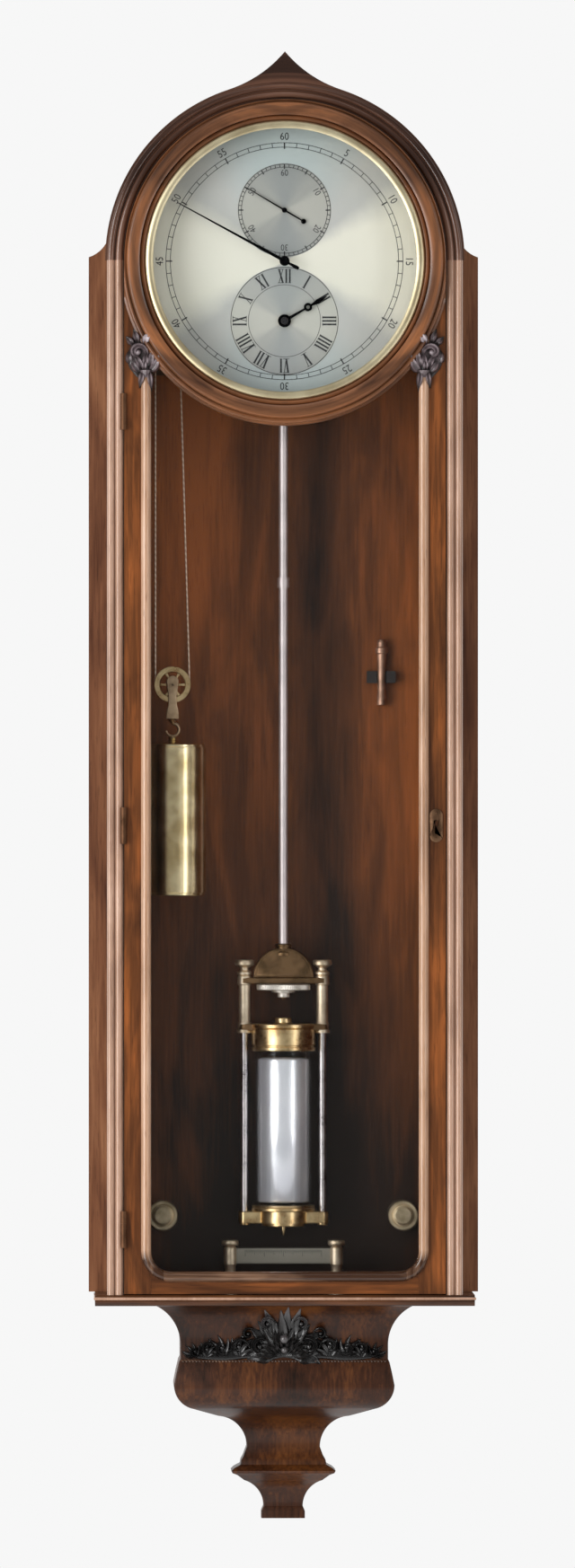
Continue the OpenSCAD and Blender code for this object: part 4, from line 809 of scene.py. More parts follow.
class Shape:
    """A mesh gathered from simple made forms, in the row frame."""

    def __init__(self) -> None:
        """Starts with nothing in it."""
        self.points: list[Vector] = []
        self.faces: list[tuple[int, ...]] = []

    def skin(self, rings: Sequence[Ring], caps: bool = True, joined: bool = False) -> "Shape":
        """Skins closed rings of the same length, one to the next.

        Args:
            rings: The rings.
            caps: Whether the two ends are closed.
            joined: Whether the last ring meets the first.

        Returns:
            This shape.
        """
        base, n = len(self.points), len(rings[0])
        for ring in rings:
            self.points.extend(ring)
        count = len(rings)
        for i in range(count if joined else count - 1):
            a, b = base + i * n, base + (i + 1) % count * n
            self.faces += [(a + k, a + (k + 1) % n, b + (k + 1) % n, b + k) for k in range(n)]
        if caps and not joined:
            self.faces.append(tuple(range(base, base + n)))
            self.faces.append(tuple(range(base + (count - 1) * n, base + count * n)))
        return self

    def lathe(self, profile: Sequence[Flat], centre: Flat, axis: Axis = Axis.DEPTH,
              count: int = 72, closed: bool = False, knurl: float = 0.0) -> "Shape":
        """Turns a profile about an axis.

        Args:
            profile: Pairs of radius and place along the axis.
            centre: The axis' place: (x, z) for DEPTH, (x, f) for UP.
            axis: Which way the axis points.
            count: Facets round.
            closed: Whether the profile is a closed outline that doesn't touch the axis.
            knurl: Depth of the ribs cut round the widest radius.

        Returns:
            This shape.
        """
        widest = max(r for r, _ in profile)
        rings: list[Ring] = []
        for r, h in profile:
            ring = []
            for i in range(count):
                cut = knurl if i % 2 and r > widest - 0.2 else 0.0
                c, s = math.cos(math.tau * i / count), math.sin(math.tau * i / count)
                c, s = (r - cut) * c, (r - cut) * s
                if axis is Axis.DEPTH:
                    ring.append(at(centre[0] + c, h, centre[1] + s))
                else:
                    ring.append(at(centre[0] + c, centre[1] + s, h))
            rings.append(ring)
        return self.skin(rings, caps=not closed, joined=closed)

    def plate(self, outline: Sequence[Flat], f: Flat, ease: float = 0.0) -> "Shape":
        """A flat plate with an outline in x and z.

        Args:
            outline: Its corners in order.
            f: Its two depths, back and front.
            ease: How far the front edge is rounded over.

        Returns:
            This shape.
        """
        if not ease:
            return self.skin([[at(x, d, z) for x, z in outline] for d in f])
        n = len(outline)
        area = sum(x0 * z1 - x1 * z0 for (x0, z0), (x1, z1)
                   in zip(outline, [*outline[1:], outline[0]]))
        side = 1 if area > 0 else -1
        normals = []
        for i in range(n):
            before, after = Vector(outline[i - 1]), Vector(outline[(i + 1) % n])
            along = (after - before).normalized()
            normals.append((-along.y * side, along.x * side))
        levels = [(0.0, f[0])]
        for share in (0.0, 0.35, 0.75, 1.0):
            bow = math.radians(90 * share)
            levels.append((ease * (1 - math.cos(bow)), f[1] - ease * (1 - math.sin(bow))))
        return self.skin([[at(x + nx * inset, d, z + nz * inset)
                           for (x, z), (nx, nz) in zip(outline, normals)]
                          for inset, d in levels])

    def block(self, x: Flat, f: Flat, z: Flat) -> "Shape":
        """A block between two values each of x, f and z."""
        return self.plate([(x[0], z[0]), (x[1], z[0]), (x[1], z[1]), (x[0], z[1])], f)

    def tube(self, path: Sequence[Vector], radius: float | Callable[[float], float],
             sides: int = 12) -> "Shape":
        """A round tube along a path.

        Args:
            path: Points in the row frame.
            radius: Millimetres, or a function of the share of the way along.
            sides: Facets round.

        Returns:
            This shape.
        """
        rings: list[Ring] = []
        up = Vector((0.0, 1.0, 0.0))
        for i, p in enumerate(path):
            ahead = (path[min(i + 1, len(path) - 1)] - path[max(i - 1, 0)]).normalized()
            side = ahead.cross(up)
            if side.length < 1e-4:
                side = ahead.cross(Vector((1.0, 0.0, 0.0)))
            side.normalize()
            over = side.cross(ahead)
            r = (radius(i / (len(path) - 1)) if callable(radius) else radius) / 1000
            turns = [math.tau * k / sides for k in range(sides)]
            rings.append([p + (side * math.cos(t) + over * math.sin(t)) * r for t in turns])
        return self.skin(rings)

    def frond(self, spine: Sequence[Flat], width: float,
              ground: Callable[[float, float], float], rise: float,
              blunt: float = 0.2) -> "Shape":
        """A carved leaf or scroll: two rounded lobes with a vein between them, on a surface.

        Args:
            spine: Points in x and z along its middle.
            width: Its greatest width.
            ground: Gives the surface's depth at x and z.
            rise: How far it stands out.
            blunt: Share of the width that is left at its root.

        Returns:
            This shape.
        """
        section = ((-1, -0.3), (-0.94, 0.3), (-0.55, 0.95), (-0.1, 0.6),
                   (0.1, 0.6), (0.55, 0.95), (0.94, 0.3), (1, -0.3))
        rings: list[Ring] = []
        for i, (x, z) in enumerate(spine):
            t = i / (len(spine) - 1)
            ahead = Vector(spine[min(i + 1, len(spine) - 1)]) - Vector(spine[max(i - 1, 0)])
            ahead.normalize()
            swell = max(math.sin(math.pi * t ** 0.75), blunt * (1 - t), 0.06)
            lift = rise * (0.45 + 0.55 * math.sin(math.pi * min(1.0, t * 0.9 + 0.08)))
            rings.append([at(x - ahead.y * u * swell * width / 2,
                             min(ground(x, z) + v * lift * max(swell, 0.35), FRONT),
                             z + ahead.x * u * swell * width / 2) for u, v in section])
        return self.skin(rings)

    def berry(self, centre: Flat, radius: float, ground: float, count: int = 10) -> "Shape":
        """A small round boss on a surface.

        Args:
            centre: Its place in x and z.
            radius: Its radius.
            ground: The surface's depth there.
            count: Facets round.

        Returns:
            This shape.
        """
        dome = [(radius * math.cos(math.radians(a)), ground + radius * math.sin(math.radians(a)))
                for a in (-20, 10, 35, 60, 85)]
        return self.lathe(dome, centre, count=count)

    def mesh(self, name: str, crease: float = CREASE) -> bpy.types.Mesh:
        """The finished Blender mesh.

        Args:
            name: Its name.
            crease: Edges that turn by more than this many degrees stay sharp.

        Returns:
            The mesh.
        """
        mesh = bpy.data.meshes.new(name)
        mesh.from_pydata([tuple(p) for p in self.points], [], self.faces)
        edit = bmesh.new()
        edit.from_mesh(mesh)
        bmesh.ops.remove_doubles(edit, verts=edit.verts, dist=2e-6)
        bmesh.ops.dissolve_degenerate(edit, edges=edit.edges, dist=1e-7)
        bmesh.ops.recalc_face_normals(edit, faces=edit.faces)
        edit.to_mesh(mesh)
        edit.free()
        mesh.shade_smooth()
        mesh.set_sharp_from_angle(angle=math.radians(crease))
        return mesh

    def piece(self, name: str, finish: Finish, body: str, stands_for: Sequence[str] = (),
              crease: float = CREASE, centre: Vector | None = None) -> bpy.types.Object:
        """Puts the shape into the scene as a piece of the clock.

        Args:
            name: The piece's name.
            finish: Its finish.
            body: The CAD body it rides on, or nothing to leave it unattached.
            stands_for: CAD nodes it replaces.
            crease: See mesh.
            centre: Where the object's own origin goes, for finishes that run round a centre.

        Returns:
            The object.
        """
        mesh = self.mesh(name, crease)
        obj = bpy.data.objects.new(name, mesh)
        if centre is not None:
            mesh.transform(Matrix.Translation(-centre))
            obj.location = centre
        bpy.context.scene.collection.objects.link(obj)
        mesh.materials.append(finish.material())
        if stands_for:
            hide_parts(*stands_for)
        if body:
            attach(obj, body)
        log.info("piece %s on %s, %d points", name, body or "a blend", len(mesh.vertices))
        return obj


# Casework


@dataclass
class Casework:
    """The case: veneered boards, reeds, hood with its drawn-up point, and base board."""

    nose: float = 2.4
    # Radius of the pale bead that paints the rounded nose's highlight
    bead: float = 1.5

    def paint_nose_highlight(self) -> None:
        """Lays a thin pale bead along the upper edge of the base board's front and ends: a painted
        highlight on its rounded nose.
        """
        high = span("base_board").high
        middle, r = high.z - 0.6 - 2 * self.bead, self.bead
        turns = [math.radians(30 * i) for i in range(12)]
        rings: list[Ring] = []
        for side, f, mitre in ((1, 4.0, 0), (1, high.y - 0.2, 1), (-1, high.y - 0.2, 1),
                               (-1, 4.0, 0)):
            rings.append([at(side * (high.x - 0.2 + r * math.cos(a)), f + mitre * r * math.cos(a),
                             middle + r * math.sin(a)) for a in turns])
        Shape().skin(rings).piece("base_nose_painted_highlight", REED, "case", crease=60)

    def build(self) -> None:
        """Dresses the boards."""
        dress(FLANK, "flank_boards")
        dress(STILE, "case_sides")
        dress(REED, "reeded_strips")
        dress(HOOD, "hood_shell")
        dress(ARCH, "arch_moulding")
        dress(RAIL, "base_board")
        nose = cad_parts["base_board"].modifiers.new("rounded_nose", "BEVEL")
        nose.width = self.nose / 1000
        nose.segments = 4
        nose.limit_method = "ANGLE"
        nose.angle_limit = math.radians(50)
        dress(BACK, "backboard")
        self.paint_nose_highlight()
        dress(BRONZED, "case_hinges", "movement_arms")


@dataclass
class BaseBracket:
    """Square turned-under bracket with its carved frieze."""

    top: float = 129.0
    neck: float = 103.2
    cushion: float = 109.5
    stem: float = 36.5
    collar: float = 52.0
    foot: float = 21.8
    height: float = 216.0
    extra: float = 16.0
    corner: float = 1.6
    frieze_drop: float = 55.0

    def outline(self) -> list[Flat]:
        """Half widths with their drop below the base board.

        Returns:
            The points from the top down, in millimetres.
        """
        # The mouldings' heights are counted in 54 equal steps down the bracket.
        step = self.height / 54
        cove, belly, hollow, waist = (n * step for n in (11, 6.25, 8, 7))
        narrow = self.foot - 0.55 * step
        flare = math.degrees(math.acos((self.neck + cove - self.top) / cove))
        pinch = math.degrees(math.acos((narrow + waist - 9.75 * step) / waist))
        neat = self.stem + 0.875 * step
        return ([(self.top, 0.0)]
                + arc((self.neck + cove, 10 * step), cove, 180 + flare, 180, 24)
                + [(self.neck, 13.6 * step), (self.neck + 1.4, 14.3 * step),
                   (self.cushion - 0.6 * step, 17 * step)]
                + arc((self.cushion - belly, 20 * step), belly, 0, 76, 20)
                + arc((self.stem + hollow, 36 * step), hollow, 264, 180, 22)
                + [(neat, 38.4 * step), (neat + 2.2, 39.3 * step), (self.collar - 9, 40.4 * step),
                   (self.collar - 3, 41.2 * step), (self.collar, 41.9 * step),
                   (self.collar - 1.2, 42.5 * step), (self.collar - 6, 43.0 * step)]
                + arc((narrow + waist, 51 * step), waist, 180 + pinch, 180, 16)
                + [(self.foot, 52.25 * step), (self.foot, self.height)])

    def face(self, drop: float) -> float:
        """How far the bracket's front stands from the wall.

        Args:
            drop: Millimetres below the base board.

        Returns:
            Its depth in millimetres.
        """
        points = self.outline()
        for (a, d0), (b, d1) in zip(points, points[1:]):
            if d0 <= drop <= d1 and d1 > d0:
                return a + (b - a) * (drop - d0) / (d1 - d0) + self.extra
        return points[-1][0] + self.extra

    def body(self, under: float) -> None:
        """Lofts the bracket with square corners, just broken.

        Args:
            under: Height of the base board's underside.
        """
        r = self.corner
        rings: list[Ring] = []
        for half, drop in self.outline():
            front = half + self.extra
            plan = [(-half, 0.0), (-half, front - r)]
            plan += [(-half + r - r * math.cos(a), front - r + r * math.sin(a))
                     for a in (math.radians(30), math.radians(60), math.radians(90))]
            plan += [(-x, f) for x, f in reversed(plan[1:])] + [(half, 0.0)]
            rings.append([at(x, f, under - drop) for x, f in plan])
        Shape().skin(rings).piece("bracket_loft", BRACKET, "case", ["bracket_body"], crease=26)

    def frieze(self, under: float) -> None:
        """Carves the raised leaf mass, the running foliage and the pearls below it.

        Args:
            under: Height of the base board's underside.
        """
        low = under - self.frieze_drop

        def ground(_x: float, z: float) -> float:
            """Depth of the bracket's front at height z."""
            return self.face(under - z)

        carving = Shape()
        # Fan of long leaves behind, shorter ones before them, then the palmette
        for tier, (count, spread, length, width, rise) in enumerate(
                ((13, 88, 55, 18, 5.0), (11, 80, 46, 16, 8.0), (9, 66, 34, 13, 10.5),
                 (5, 44, 21, 10, 12.5))):
            for i in range(count):
                lean = spread * (2 * i / (count - 1) - 1)
                reach = length * (1 - 0.42 * abs(lean) / 86) * (1 if i % 2 else 0.92)
                start = (lean * 0.1, low + 2.5 + tier * 1.5)
                carving.frond(bent(start, 90 - lean * 0.85, reach, -lean * 0.55 + (i % 3 - 1) * 9),
                              width, ground, rise)
        for side in (-1, 1):
            lead = 0 if side > 0 else 180
            for x, z, size, rise in ((25, 13, 12.5, 11.0), (17, 36, 8.5, 9.0), (36, 26, 7.5, 7.0)):
                carving.frond(curl((side * x, low + z), size, 1.9, lead + side * 200, -side * 480),
                              size * 0.56, ground, rise, 0.5)
                carving.berry((side * x, low + z), size * 0.26, ground(0, low + z) + rise * 0.4)
            stem = [(side * (30 + 7.5 * i), low + 7.0 - 0.4 * i) for i in range(10)]
            carving.frond(stem, 14, ground, 2.8, 0.9)
            # Running scrolls that grow smaller towards the ends
            for place, size, way in ((45, 11.5, 1), (62, 10.5, -1), (77, 9.0, 1), (89, 7.0, -1)):
                eye = (side * place, low + size + 1.5)
                carving.frond(curl(eye, size, 1.8, lead + side * way * 210, -side * way * 430),
                              size * 0.55, ground, 7.0, 0.5)
                carving.berry(eye, size * 0.24, ground(0, eye[1]) + 2.4)
                for turn, reach in ((50, 2.0), (78, 2.3), (104, 2.3), (136, 1.9)):
                    carving.frond(bent((eye[0], low + 2), 90 - side * (turn - 92), size * reach,
                                       side * way * 50), size * 0.66, ground, 4.6)
            carving.frond(bent((side * 89, low + 3), lead + side * 10, 14, side * 30), 7,
                          ground, 3.4)
        carving.berry((0, low + 21), 4.6, ground(0, low + 21) + 10, 14)
        carving.berry((0, low + 10), 3.4, ground(0, low + 10) + 10, 12)
        carving.piece("bracket_foliage", EBONY_FRIEZE, "case", ["bracket_ornament"], crease=60)
        # The pearls take the bead's finish: painted pale for a highlight and painted darker as
        # shade
        pearls = Shape()
        shelf = self.neck + self.extra
        pearls.block((-self.neck + 0.5, self.neck - 0.5), (shelf - 0.5, shelf + 1.1),
                     (low - 3, low))
        count = 62
        for i in range(count):
            x = (2 * i / (count - 1) - 1) * (self.neck - 3)
            pearls.berry((x, low - 1.5), 1.4, shelf + 0.9, 8)
        pearls.piece("bracket_pearls", BEAD, "case", ["bracket_ornament"], crease=60)

    def build(self) -> None:
        """Makes the bracket under the base board."""
        under = span("base_board").low.z
        self.body(under)
        self.frieze(under)


# Dial


@dataclass
class Dial:
    """Silvered regulator dial with engraved rings and its three hands."""

    radius: float = 142.0
    thick: float = 2.0
    centre_hole: float = 3.6
    seconds: float = 50.7
    hours: float = DRUM[1]
    seconds_ring: float = 46.5
    seconds_track: float = 3.0
    hours_ring: float = 54.0
    hours_inner: float = 35.8
    numerals: Flat = (37.5, 51.5)
    minute_ring: float = 117.6
    minute_track: float = 4.4
    minute_figures: float = 123.6
    margin: float = 0.8
    silver: float = 0.07
    wax: float = 0.05
    line: float = 0.62
    minute_turn: float = 151.4
    seconds_turn: float = 149.5
    hour_turn: float = 30.2
    marks: Shape = field(default_factory=Shape)

    def face(self) -> float:
        """Depth of the dial's front."""
        return span("dial_plate").high.y

    def plates(self) -> None:
        """Turns the dial plate and lays in the two smaller chapters."""
        face = self.face()
        back = face - self.thick
        foot_x, foot_z, foot_r = 78.0, 105.0, 3.0
        dial = Shape().lathe([(self.centre_hole, back), (self.radius - 0.5, back),
                              (self.radius, back + 0.5), (self.radius, face - 0.4),
                              (self.radius - 0.4, face)]
                             + [(r, face) for r in (120.0, 80.0, 40.0, self.centre_hole)],
                             (0, 0), count=180, closed=True)
        foot_back = span("dial_plate").low.y
        for x in (-foot_x, foot_x):
            for z in (-foot_z, foot_z):
                dial.lathe([(foot_r, foot_back), (foot_r, back), (foot_r + 1.5, back)], (x, z),
                           count=24)
        dial.piece("dial_face", SILVERED, "case", ["dial_plate"], centre=at(0, face, 0))
        for name, z, radius, finish, hole in (
                ("seconds_chapter", self.seconds, self.seconds_ring, SILVERED_SECONDS, 2.2),
                ("hours_chapter", self.hours, self.hours_ring, SILVERED_HOURS, 6.4)):
            Shape().lathe([(hole, face - 0.05), (radius, face - 0.05), (radius, face + 0.03),
                           (radius - 0.3, face + self.silver)]
                          + [(radius * share + hole, face + self.silver)
                             for share in (0.6, 0.3, 0.0)],
                          (0, z), count=120, closed=True
                          ).piece(name, finish, "case", centre=at(0, face, z))

    def groove(self, z: float, radius: float, width: float) -> None:
        """A wax-filled ring.

        Args:
            z: Height of its centre.
            radius: Its radius.
            width: Its width.
        """
        face, half = self.face() + self.silver, width / 2
        self.marks.lathe([(radius - half, face), (radius + half, face),
                          (radius + half, face + self.wax), (radius - half, face + self.wax)],
                         (0, z), count=150, closed=True)

    def stroke(self, centre: Flat, turn: float, across: Flat, along: Flat,
               lean: float = 0.0) -> None:
        """A wax-filled stroke on a radial line.

        Args:
            centre: Centre of the ring that it belongs to.
            turn: Degrees clockwise from the top.
            across: Its two sides, measured across the radial line.
            along: Its two ends, measured from the centre.
            lean: How far its outer end is shifted sideways.
        """
        a = math.radians(90 - turn)
        out, side = Vector((math.cos(a), math.sin(a))), Vector((math.sin(a), -math.cos(a)))
        corners = [(across[0], along[0]), (across[1], along[0]),
                   (across[1] + lean, along[1]), (across[0] + lean, along[1])]
        spots = [side * u + out * v for u, v in corners]
        face = self.face() + self.silver
        self.marks.plate([(centre[0] + spot.x, centre[1] + spot.y) for spot in spots],
                         (face, face + self.wax))

    def track(self, z: float, outer: float, deep: float) -> None:
        """Two rings with sixty divisions between them, each fifth one wider and longer.

        Args:
            z: Height of the rings' centre.
            outer: Radius of the outer ring.
            deep: How far the inner ring lies inside it.
        """
        inner = outer - deep
        self.groove(z, outer, self.line)
        self.groove(z, inner, self.line)
        for i in range(60):
            main = i % 5 == 0
            half = self.line * (1.0 if main else 0.55)
            self.stroke((0, z), 6 * i, (-half, half), (inner - (1.8 if main else 0), outer))

    def roman(self, text: str, turn: float) -> None:
        """A numeral in thick and thin strokes, its foot towards the centre.

        Args:
            text: The numeral.
            turn: Degrees clockwise from the top.
        """
        inner, outer = self.numerals
        widths = {"I": 3.0, "V": 6.4, "X": 6.6}
        thick, thin, serif, gap = 0.9, 0.35, 0.525, 0.5
        # Half width of each stroke, and its shift and lean as shares of the letter's width
        strokes = {"I": ((0.85, 0.0, 0.0),),
                   "V": ((thick, 0.0, -0.3), (thin, 0.0, 0.3)),
                   "X": ((thick, 0.3, -0.6), (thin, -0.3, 0.6))}
        x = -(sum(widths[c] for c in text) + gap * (len(text) - 1)) / 2
        centre = (0.0, self.hours)
        for letter in text:
            w = widths[letter]
            for half, shift, lean in strokes[letter]:
                mid = x + w / 2 + shift * w
                self.stroke(centre, turn, (mid - half, mid + half), (inner, outer), lean * w)
            for end in (inner, outer - serif):
                self.stroke(centre, turn, (x + 0.15, x + w - 0.15), (end, end + serif))
            x += w + gap

    def figure(self, text: str, z: float, turn: float, radius: float, height: float) -> None:
        """A plain number, upright towards the outside.

        Args:
            text: The number.
            z: Height of its ring's centre.
            turn: Degrees clockwise from the top.
            radius: Distance of its middle from the centre.
            height: Its height in millimetres.
        """
        capital, narrow = 0.7, 0.86
        data = bpy.data.curves.new("figure", "FONT")
        data.body = text
        data.size = height / capital
        data.align_x, data.align_y = "CENTER", "CENTER"
        data.resolution_u = 3
        data.extrude = 0.03
        made = bpy.data.objects.new("figure", data)
        cut = bpy.data.meshes.new_from_object(made)
        a = math.radians(-turn)
        c, s = math.cos(a), math.sin(a)
        face = self.face() + 0.1
        base = len(self.marks.points)
        x, middle = radius * math.sin(-a), z + radius * c
        for v in cut.vertices:
            self.marks.points.append(at(x + v.co.x * narrow * c - v.co.y * s, face + v.co.z,
                                        middle + v.co.x * narrow * s + v.co.y * c))
        self.marks.faces += [tuple(base + i for i in p.vertices) for p in cut.polygons]
        bpy.data.objects.remove(made)
        bpy.data.curves.remove(data)
        bpy.data.meshes.remove(cut)

    def engraving(self) -> None:
        """Cuts the rings, divisions and numbers, all filled with black wax."""
        self.track(0, self.minute_ring, self.minute_track)
        self.track(self.seconds, self.seconds_ring - self.margin, self.seconds_track)
        self.groove(self.hours, self.hours_ring - self.margin, self.line)
        self.groove(self.hours, self.hours_inner, self.line * 0.8)
        for i, text in enumerate("XII I II III IIII V VI VII VIII IX X XI".split()):
            self.roman(text, 30 * i)
        for i in range(1, 13):
            self.figure(str(5 * i), 0, 30 * i, self.minute_figures, 7.4)
        for i in range(1, 7):
            self.figure(str(10 * i), self.seconds, 60 * i, 36.8, 6.2)
        self.marks.piece("dial_engraving", WAX, "case", crease=60)

    def hands(self) -> None:
        """Files up the three blued hands."""
        def turned(points: Sequence[Flat], angle: float, z: float) -> list[Flat]:
            """Points on a hand turned to its angle about a centre at height z."""
            c, s = math.cos(angle), math.sin(angle)
            return [(x * c - y * s, z + x * s + y * c) for x, y in points]

        # Each hand's turn is measured anticlockwise from the right.
        turn = math.radians(self.minute_turn)
        long_blade = [(-16, -1.5), (-13, -1.9), (-6, -1.2), (0, -1.7), (60, -1.05), (119, -0.5),
                      (122, 0), (119, 0.5), (60, 1.05), (0, 1.7), (-6, 1.2), (-13, 1.9), (-16, 1.5)]
        back = span("minute_hand").low.y
        minute = Shape().plate(turned(long_blade, turn, 0), (back, back + 1.0), 0.3)
        minute.lathe([(2, back), (5, back), (5, back + 0.8), (4.2, back + 1.3), (3.8, back + 1.3),
                      (3.8, back + 2.6), (2.6, back + 3.4), (0.4, back + 3.5)], (0, 0), count=40)
        minute.piece("minute_hand_blade", BLUED, "centre", ["minute_hand"])
        back = span("seconds_hand").low.y
        turn = math.radians(self.seconds_turn)
        thin = [(-24, -0.6), (0, -0.9), (44, -0.3), (44, 0.3), (0, 0.9), (-24, 0.6)]
        seconds = Shape().plate(turned(thin, turn, self.seconds), (back, back + 0.7), 0.2)
        tail = (-22 * math.cos(turn), self.seconds - 22 * math.sin(turn))
        for centre in ((0, self.seconds), tail):
            seconds.lathe([(0.4, back), (2.6, back), (2.6, back + 0.55), (2.1, back + 0.8),
                           (0.4, back + 0.8)], centre, count=32)
        seconds.piece("seconds_hand_blade", BLUED, "escape", ["seconds_hand"])
        back = span("hour_hand").low.y
        turn = math.radians(self.hour_turn)
        centre = (0.0, self.hours)
        # Boss, stem, pierced bulb and point
        hour = Shape().lathe([(3.6, back), (6.5, back), (6.5, back + 0.8), (5.9, back + 1.0),
                              (3.6, back + 1.0)], centre, count=40, closed=True)
        bulb = 27.0
        ring_at = (bulb * math.cos(turn), self.hours + bulb * math.sin(turn))
        hour.lathe([(1.7, back), (4.2, back), (4.2, back + 0.8), (3.9, back + 1.0),
                    (1.9, back + 1.0)], ring_at, count=32, closed=True)
        for blade in ([(5.5, -1.5), (23.5, -1.0), (23.5, 1.0), (5.5, 1.5)],
                      [(30.6, -1.0), (38, -2.3), (42, -1.6), (49, -0.2), (49, 0.2), (42, 1.6),
                       (38, 2.3), (30.6, 1.0)]):
            hour.plate(turned(blade, turn, self.hours), (back, back + 1.0), 0.3)
        hour.piece("hour_hand_blade", BLUED, "hour", ["hour_hand"])

    def build(self) -> None:
        """Makes the plate, its engraving and the hands."""
        self.plates()
        self.engraving()
        self.hands()


# Door


@dataclass
class Door:
    """Glazed door: stiles, ring, bezel, bead, carved brackets and fittings."""

    half: float = 159.2
    ring_in: float = 138.5
    ring_out: float = 164.0
    bead_x: float = 137.5
    face: float = 170.0

    def ring(self) -> None:
        """Turns the wooden ring and trims it to the door's width."""
        back = span("dial_ring").low.y
        d = self.face
        profile = ([(self.ring_in, back), (self.ring_in, d + 2.6)]
                   + arc((self.ring_in + 2.5, d + 2.9), 2.4, 165, 15, 10)
                   + [(self.ring_in + 5.3, d + 2.6), (self.ring_in + 5.5, d + 4.6)]
                   + arc((self.ring_in + 12.2, d - 3.4), 15.2, 116, 72, 18)
                   + [(self.ring_out - 7.4, d + 8.6), (self.ring_out - 7.0, d + 6.0)]
                   + arc((self.ring_out - 4.6, d + 5.2), 2.3, 150, -10, 8)
                   + [(self.ring_out - 1.9, d + 2.8), (self.ring_out, d + 2.2),
                      (self.ring_out, back)])
        count = 240
        rings: list[Ring] = []
        for i in range(count):
            a = math.tau * i / count
            limit = self.half
            if math.sin(a) < 0:
                limit = min(self.ring_out, self.half / max(abs(math.cos(a)), 1e-6))
            rings.append([at(min(r, limit) * math.cos(a), f, min(r, limit) * math.sin(a))
                          for r, f in profile])
        Shape().skin(rings, joined=True).piece("ring_moulding", RING, "door", ["dial_ring"],
                                               crease=50)

    def bezel(self) -> None:
        """Turns the brass bezel with its rounded front and its hollow inside."""
        bezel = span("brass_bezel")
        back, front, outer = bezel.low.y, bezel.high.y, bezel.r
        inner = outer - 6.7
        profile = ([(inner + 2.2, back), (outer, back), (outer, front - 4.2)]
                   + arc((outer - 2.6, front - 4.0), 2.6, 0, 60, 6)
                   + arc((outer - 4.3, front - 6.9), 5.9, 66, 128, 12)
                   + [(inner, front - 4.4), (inner, back + 11.5), (inner, back + 10.6),
                      (inner + 2.2, back + 10.6)])
        Shape().lathe(profile, (0, 0), count=180, closed=True
                      ).piece("bezel_turning", BEZEL, "door", ["brass_bezel"], crease=38)

    def carving(self) -> None:
        """Carves the leaf and volute beside the ring, above each bead."""
        top = span("glazing_bead").high.z
        carved = Shape()
        collars = Shape()
        face = self.face

        def ground(x: float, z: float) -> float:
            """The door's face, or the ring's outer slope where that stands before it."""
            lap = self.ring_out - math.hypot(x, z)
            return face if lap <= 0 else min(face + 2.0 + 0.62 * lap, face + 8.0)

        for side in (-1, 1):
            eye = (self.bead_x + 8.0, top + 24)
            scroll = curl(eye, 11.5, 1.9, 250, -470)
            carved.frond([(side * x, z) for x, z in scroll], 7.6, ground, 8.6, 0.6)
            carved.berry((side * eye[0], eye[1]), 3.0, face + 4.0, 14)
            # Leaf behind, leaves round the scroll, and two that fall over the top of the bead:
            # root, angle, length, bend, width and rise of each
            for x, z, angle, length, bend, width, rise in (
                    (5, -2, 88, 46, -10, 25, 3.4), (8, 33, 82, 15, -22, 8.5, 6.5),
                    (12, 31, 52, 12, -10, 8.0, 5.5), (2, 32, 108, 14, 26, 8.5, 6.0),
                    (15, 12, 70, 15, 30, 9.0, 5.5), (-2, 4, 146, 21, -50, 10.5, 6.5),
                    (-1, 8, 124, 20, -40, 9.5, 7.6), (2, 8, 104, 18, -16, 8.5, 8.4),
                    (4, 7, 74, 18, -22, 8.5, 8.0), (6, 4, 44, 17, 30, 9.0, 6.5),
                    (2, 6, 92, 13, 0, 7.0, 10.0), (-3, 7, -94, 22, -6, 7.5, 8.6),
                    (3.5, 6, -84, 18, 8, 7.5, 8.2)):
                spine = bent((self.bead_x + x, top + z), angle, length, bend)
                carved.frond([(side * u, v) for u, v in spine], width, ground, rise)
            # Fluted bell that ends the bead
            x = side * self.bead_x
            bell = [(4.8, top - 1.0), (5.6, top - 0.2), (5.0, top + 1.2), (5.4, top + 3.0),
                    (6.4, top + 5.6), (6.2, top + 6.4), (3.0, top + 7.0)]
            rings: list[Ring] = []
            for r, z in bell:
                ring = []
                for i in range(25):
                    a = math.pi * i / 24
                    flute = r - (0.35 if i % 4 == 2 and r > 5.1 else 0.0)
                    ring.append(at(x + flute * math.cos(a), face + flute * math.sin(a), z))
                rings.append(ring + [at(x - r, face - 0.05, z), at(x + r, face - 0.05, z)])
            collars.skin(rings)
        carved.piece("leaf_brackets", EBONY, "door", ["carved_brackets"], crease=60)
        collars.piece("bead_collars", EBONY, "door", ["carved_brackets"], crease=40)

    def keyhole(self) -> None:
        """Cuts the escutcheon: a thin oval plate with a keyhole and two pins."""
        plate = span("escutcheon")
        low, high = plate.low, plate.high
        x, z, half = plate.x, plate.z, plate.r
        rise = (high.z - low.z) / 2 - half
        outer = arc((x, z + rise), half, 0, 180, 20) + arc((x, z - rise), half, 180, 360, 20)
        inner = (arc((x, z + 3), 2.6, -62, 242, 26) + [(x - 1.2, z - 8), (x + 1.2, z - 8)])
        n = len(outer)
        paired = [inner[round(i * (len(inner) - 1) / (n - 1))] for i in range(n)]
        rings = [[at(px, f, pz) for px, pz in line] for line, f in
                 ((outer, low.y), (outer, high.y - 0.35),
                  ([(x + (a - x) * 0.93, z + (b - z) * 0.97) for a, b in outer], high.y),
                  (paired, high.y), (paired, low.y))]
        shape = Shape().skin(rings, joined=True)
        for end in (z + rise + 2.6, z - rise - 2.6):
            shape.berry((x, end), 0.9, high.y - 0.3)
        shape.piece("keyhole_plate", PLATE_BRONZE, "door", ["escutcheon"], crease=45)

    def build(self) -> None:
        """Dresses the frame and makes the turned and carved pieces."""
        dress(DOOR, "door_frame")
        dress(PANE, "glass_panes")
        dress(BEAD, "glazing_bead")
        dress(BRONZED, "door_hinges")
        dress(BRASS, "lock_bolt")
        self.ring()
        self.bezel()
        self.carving()
        self.keyhole()


# Works and fittings


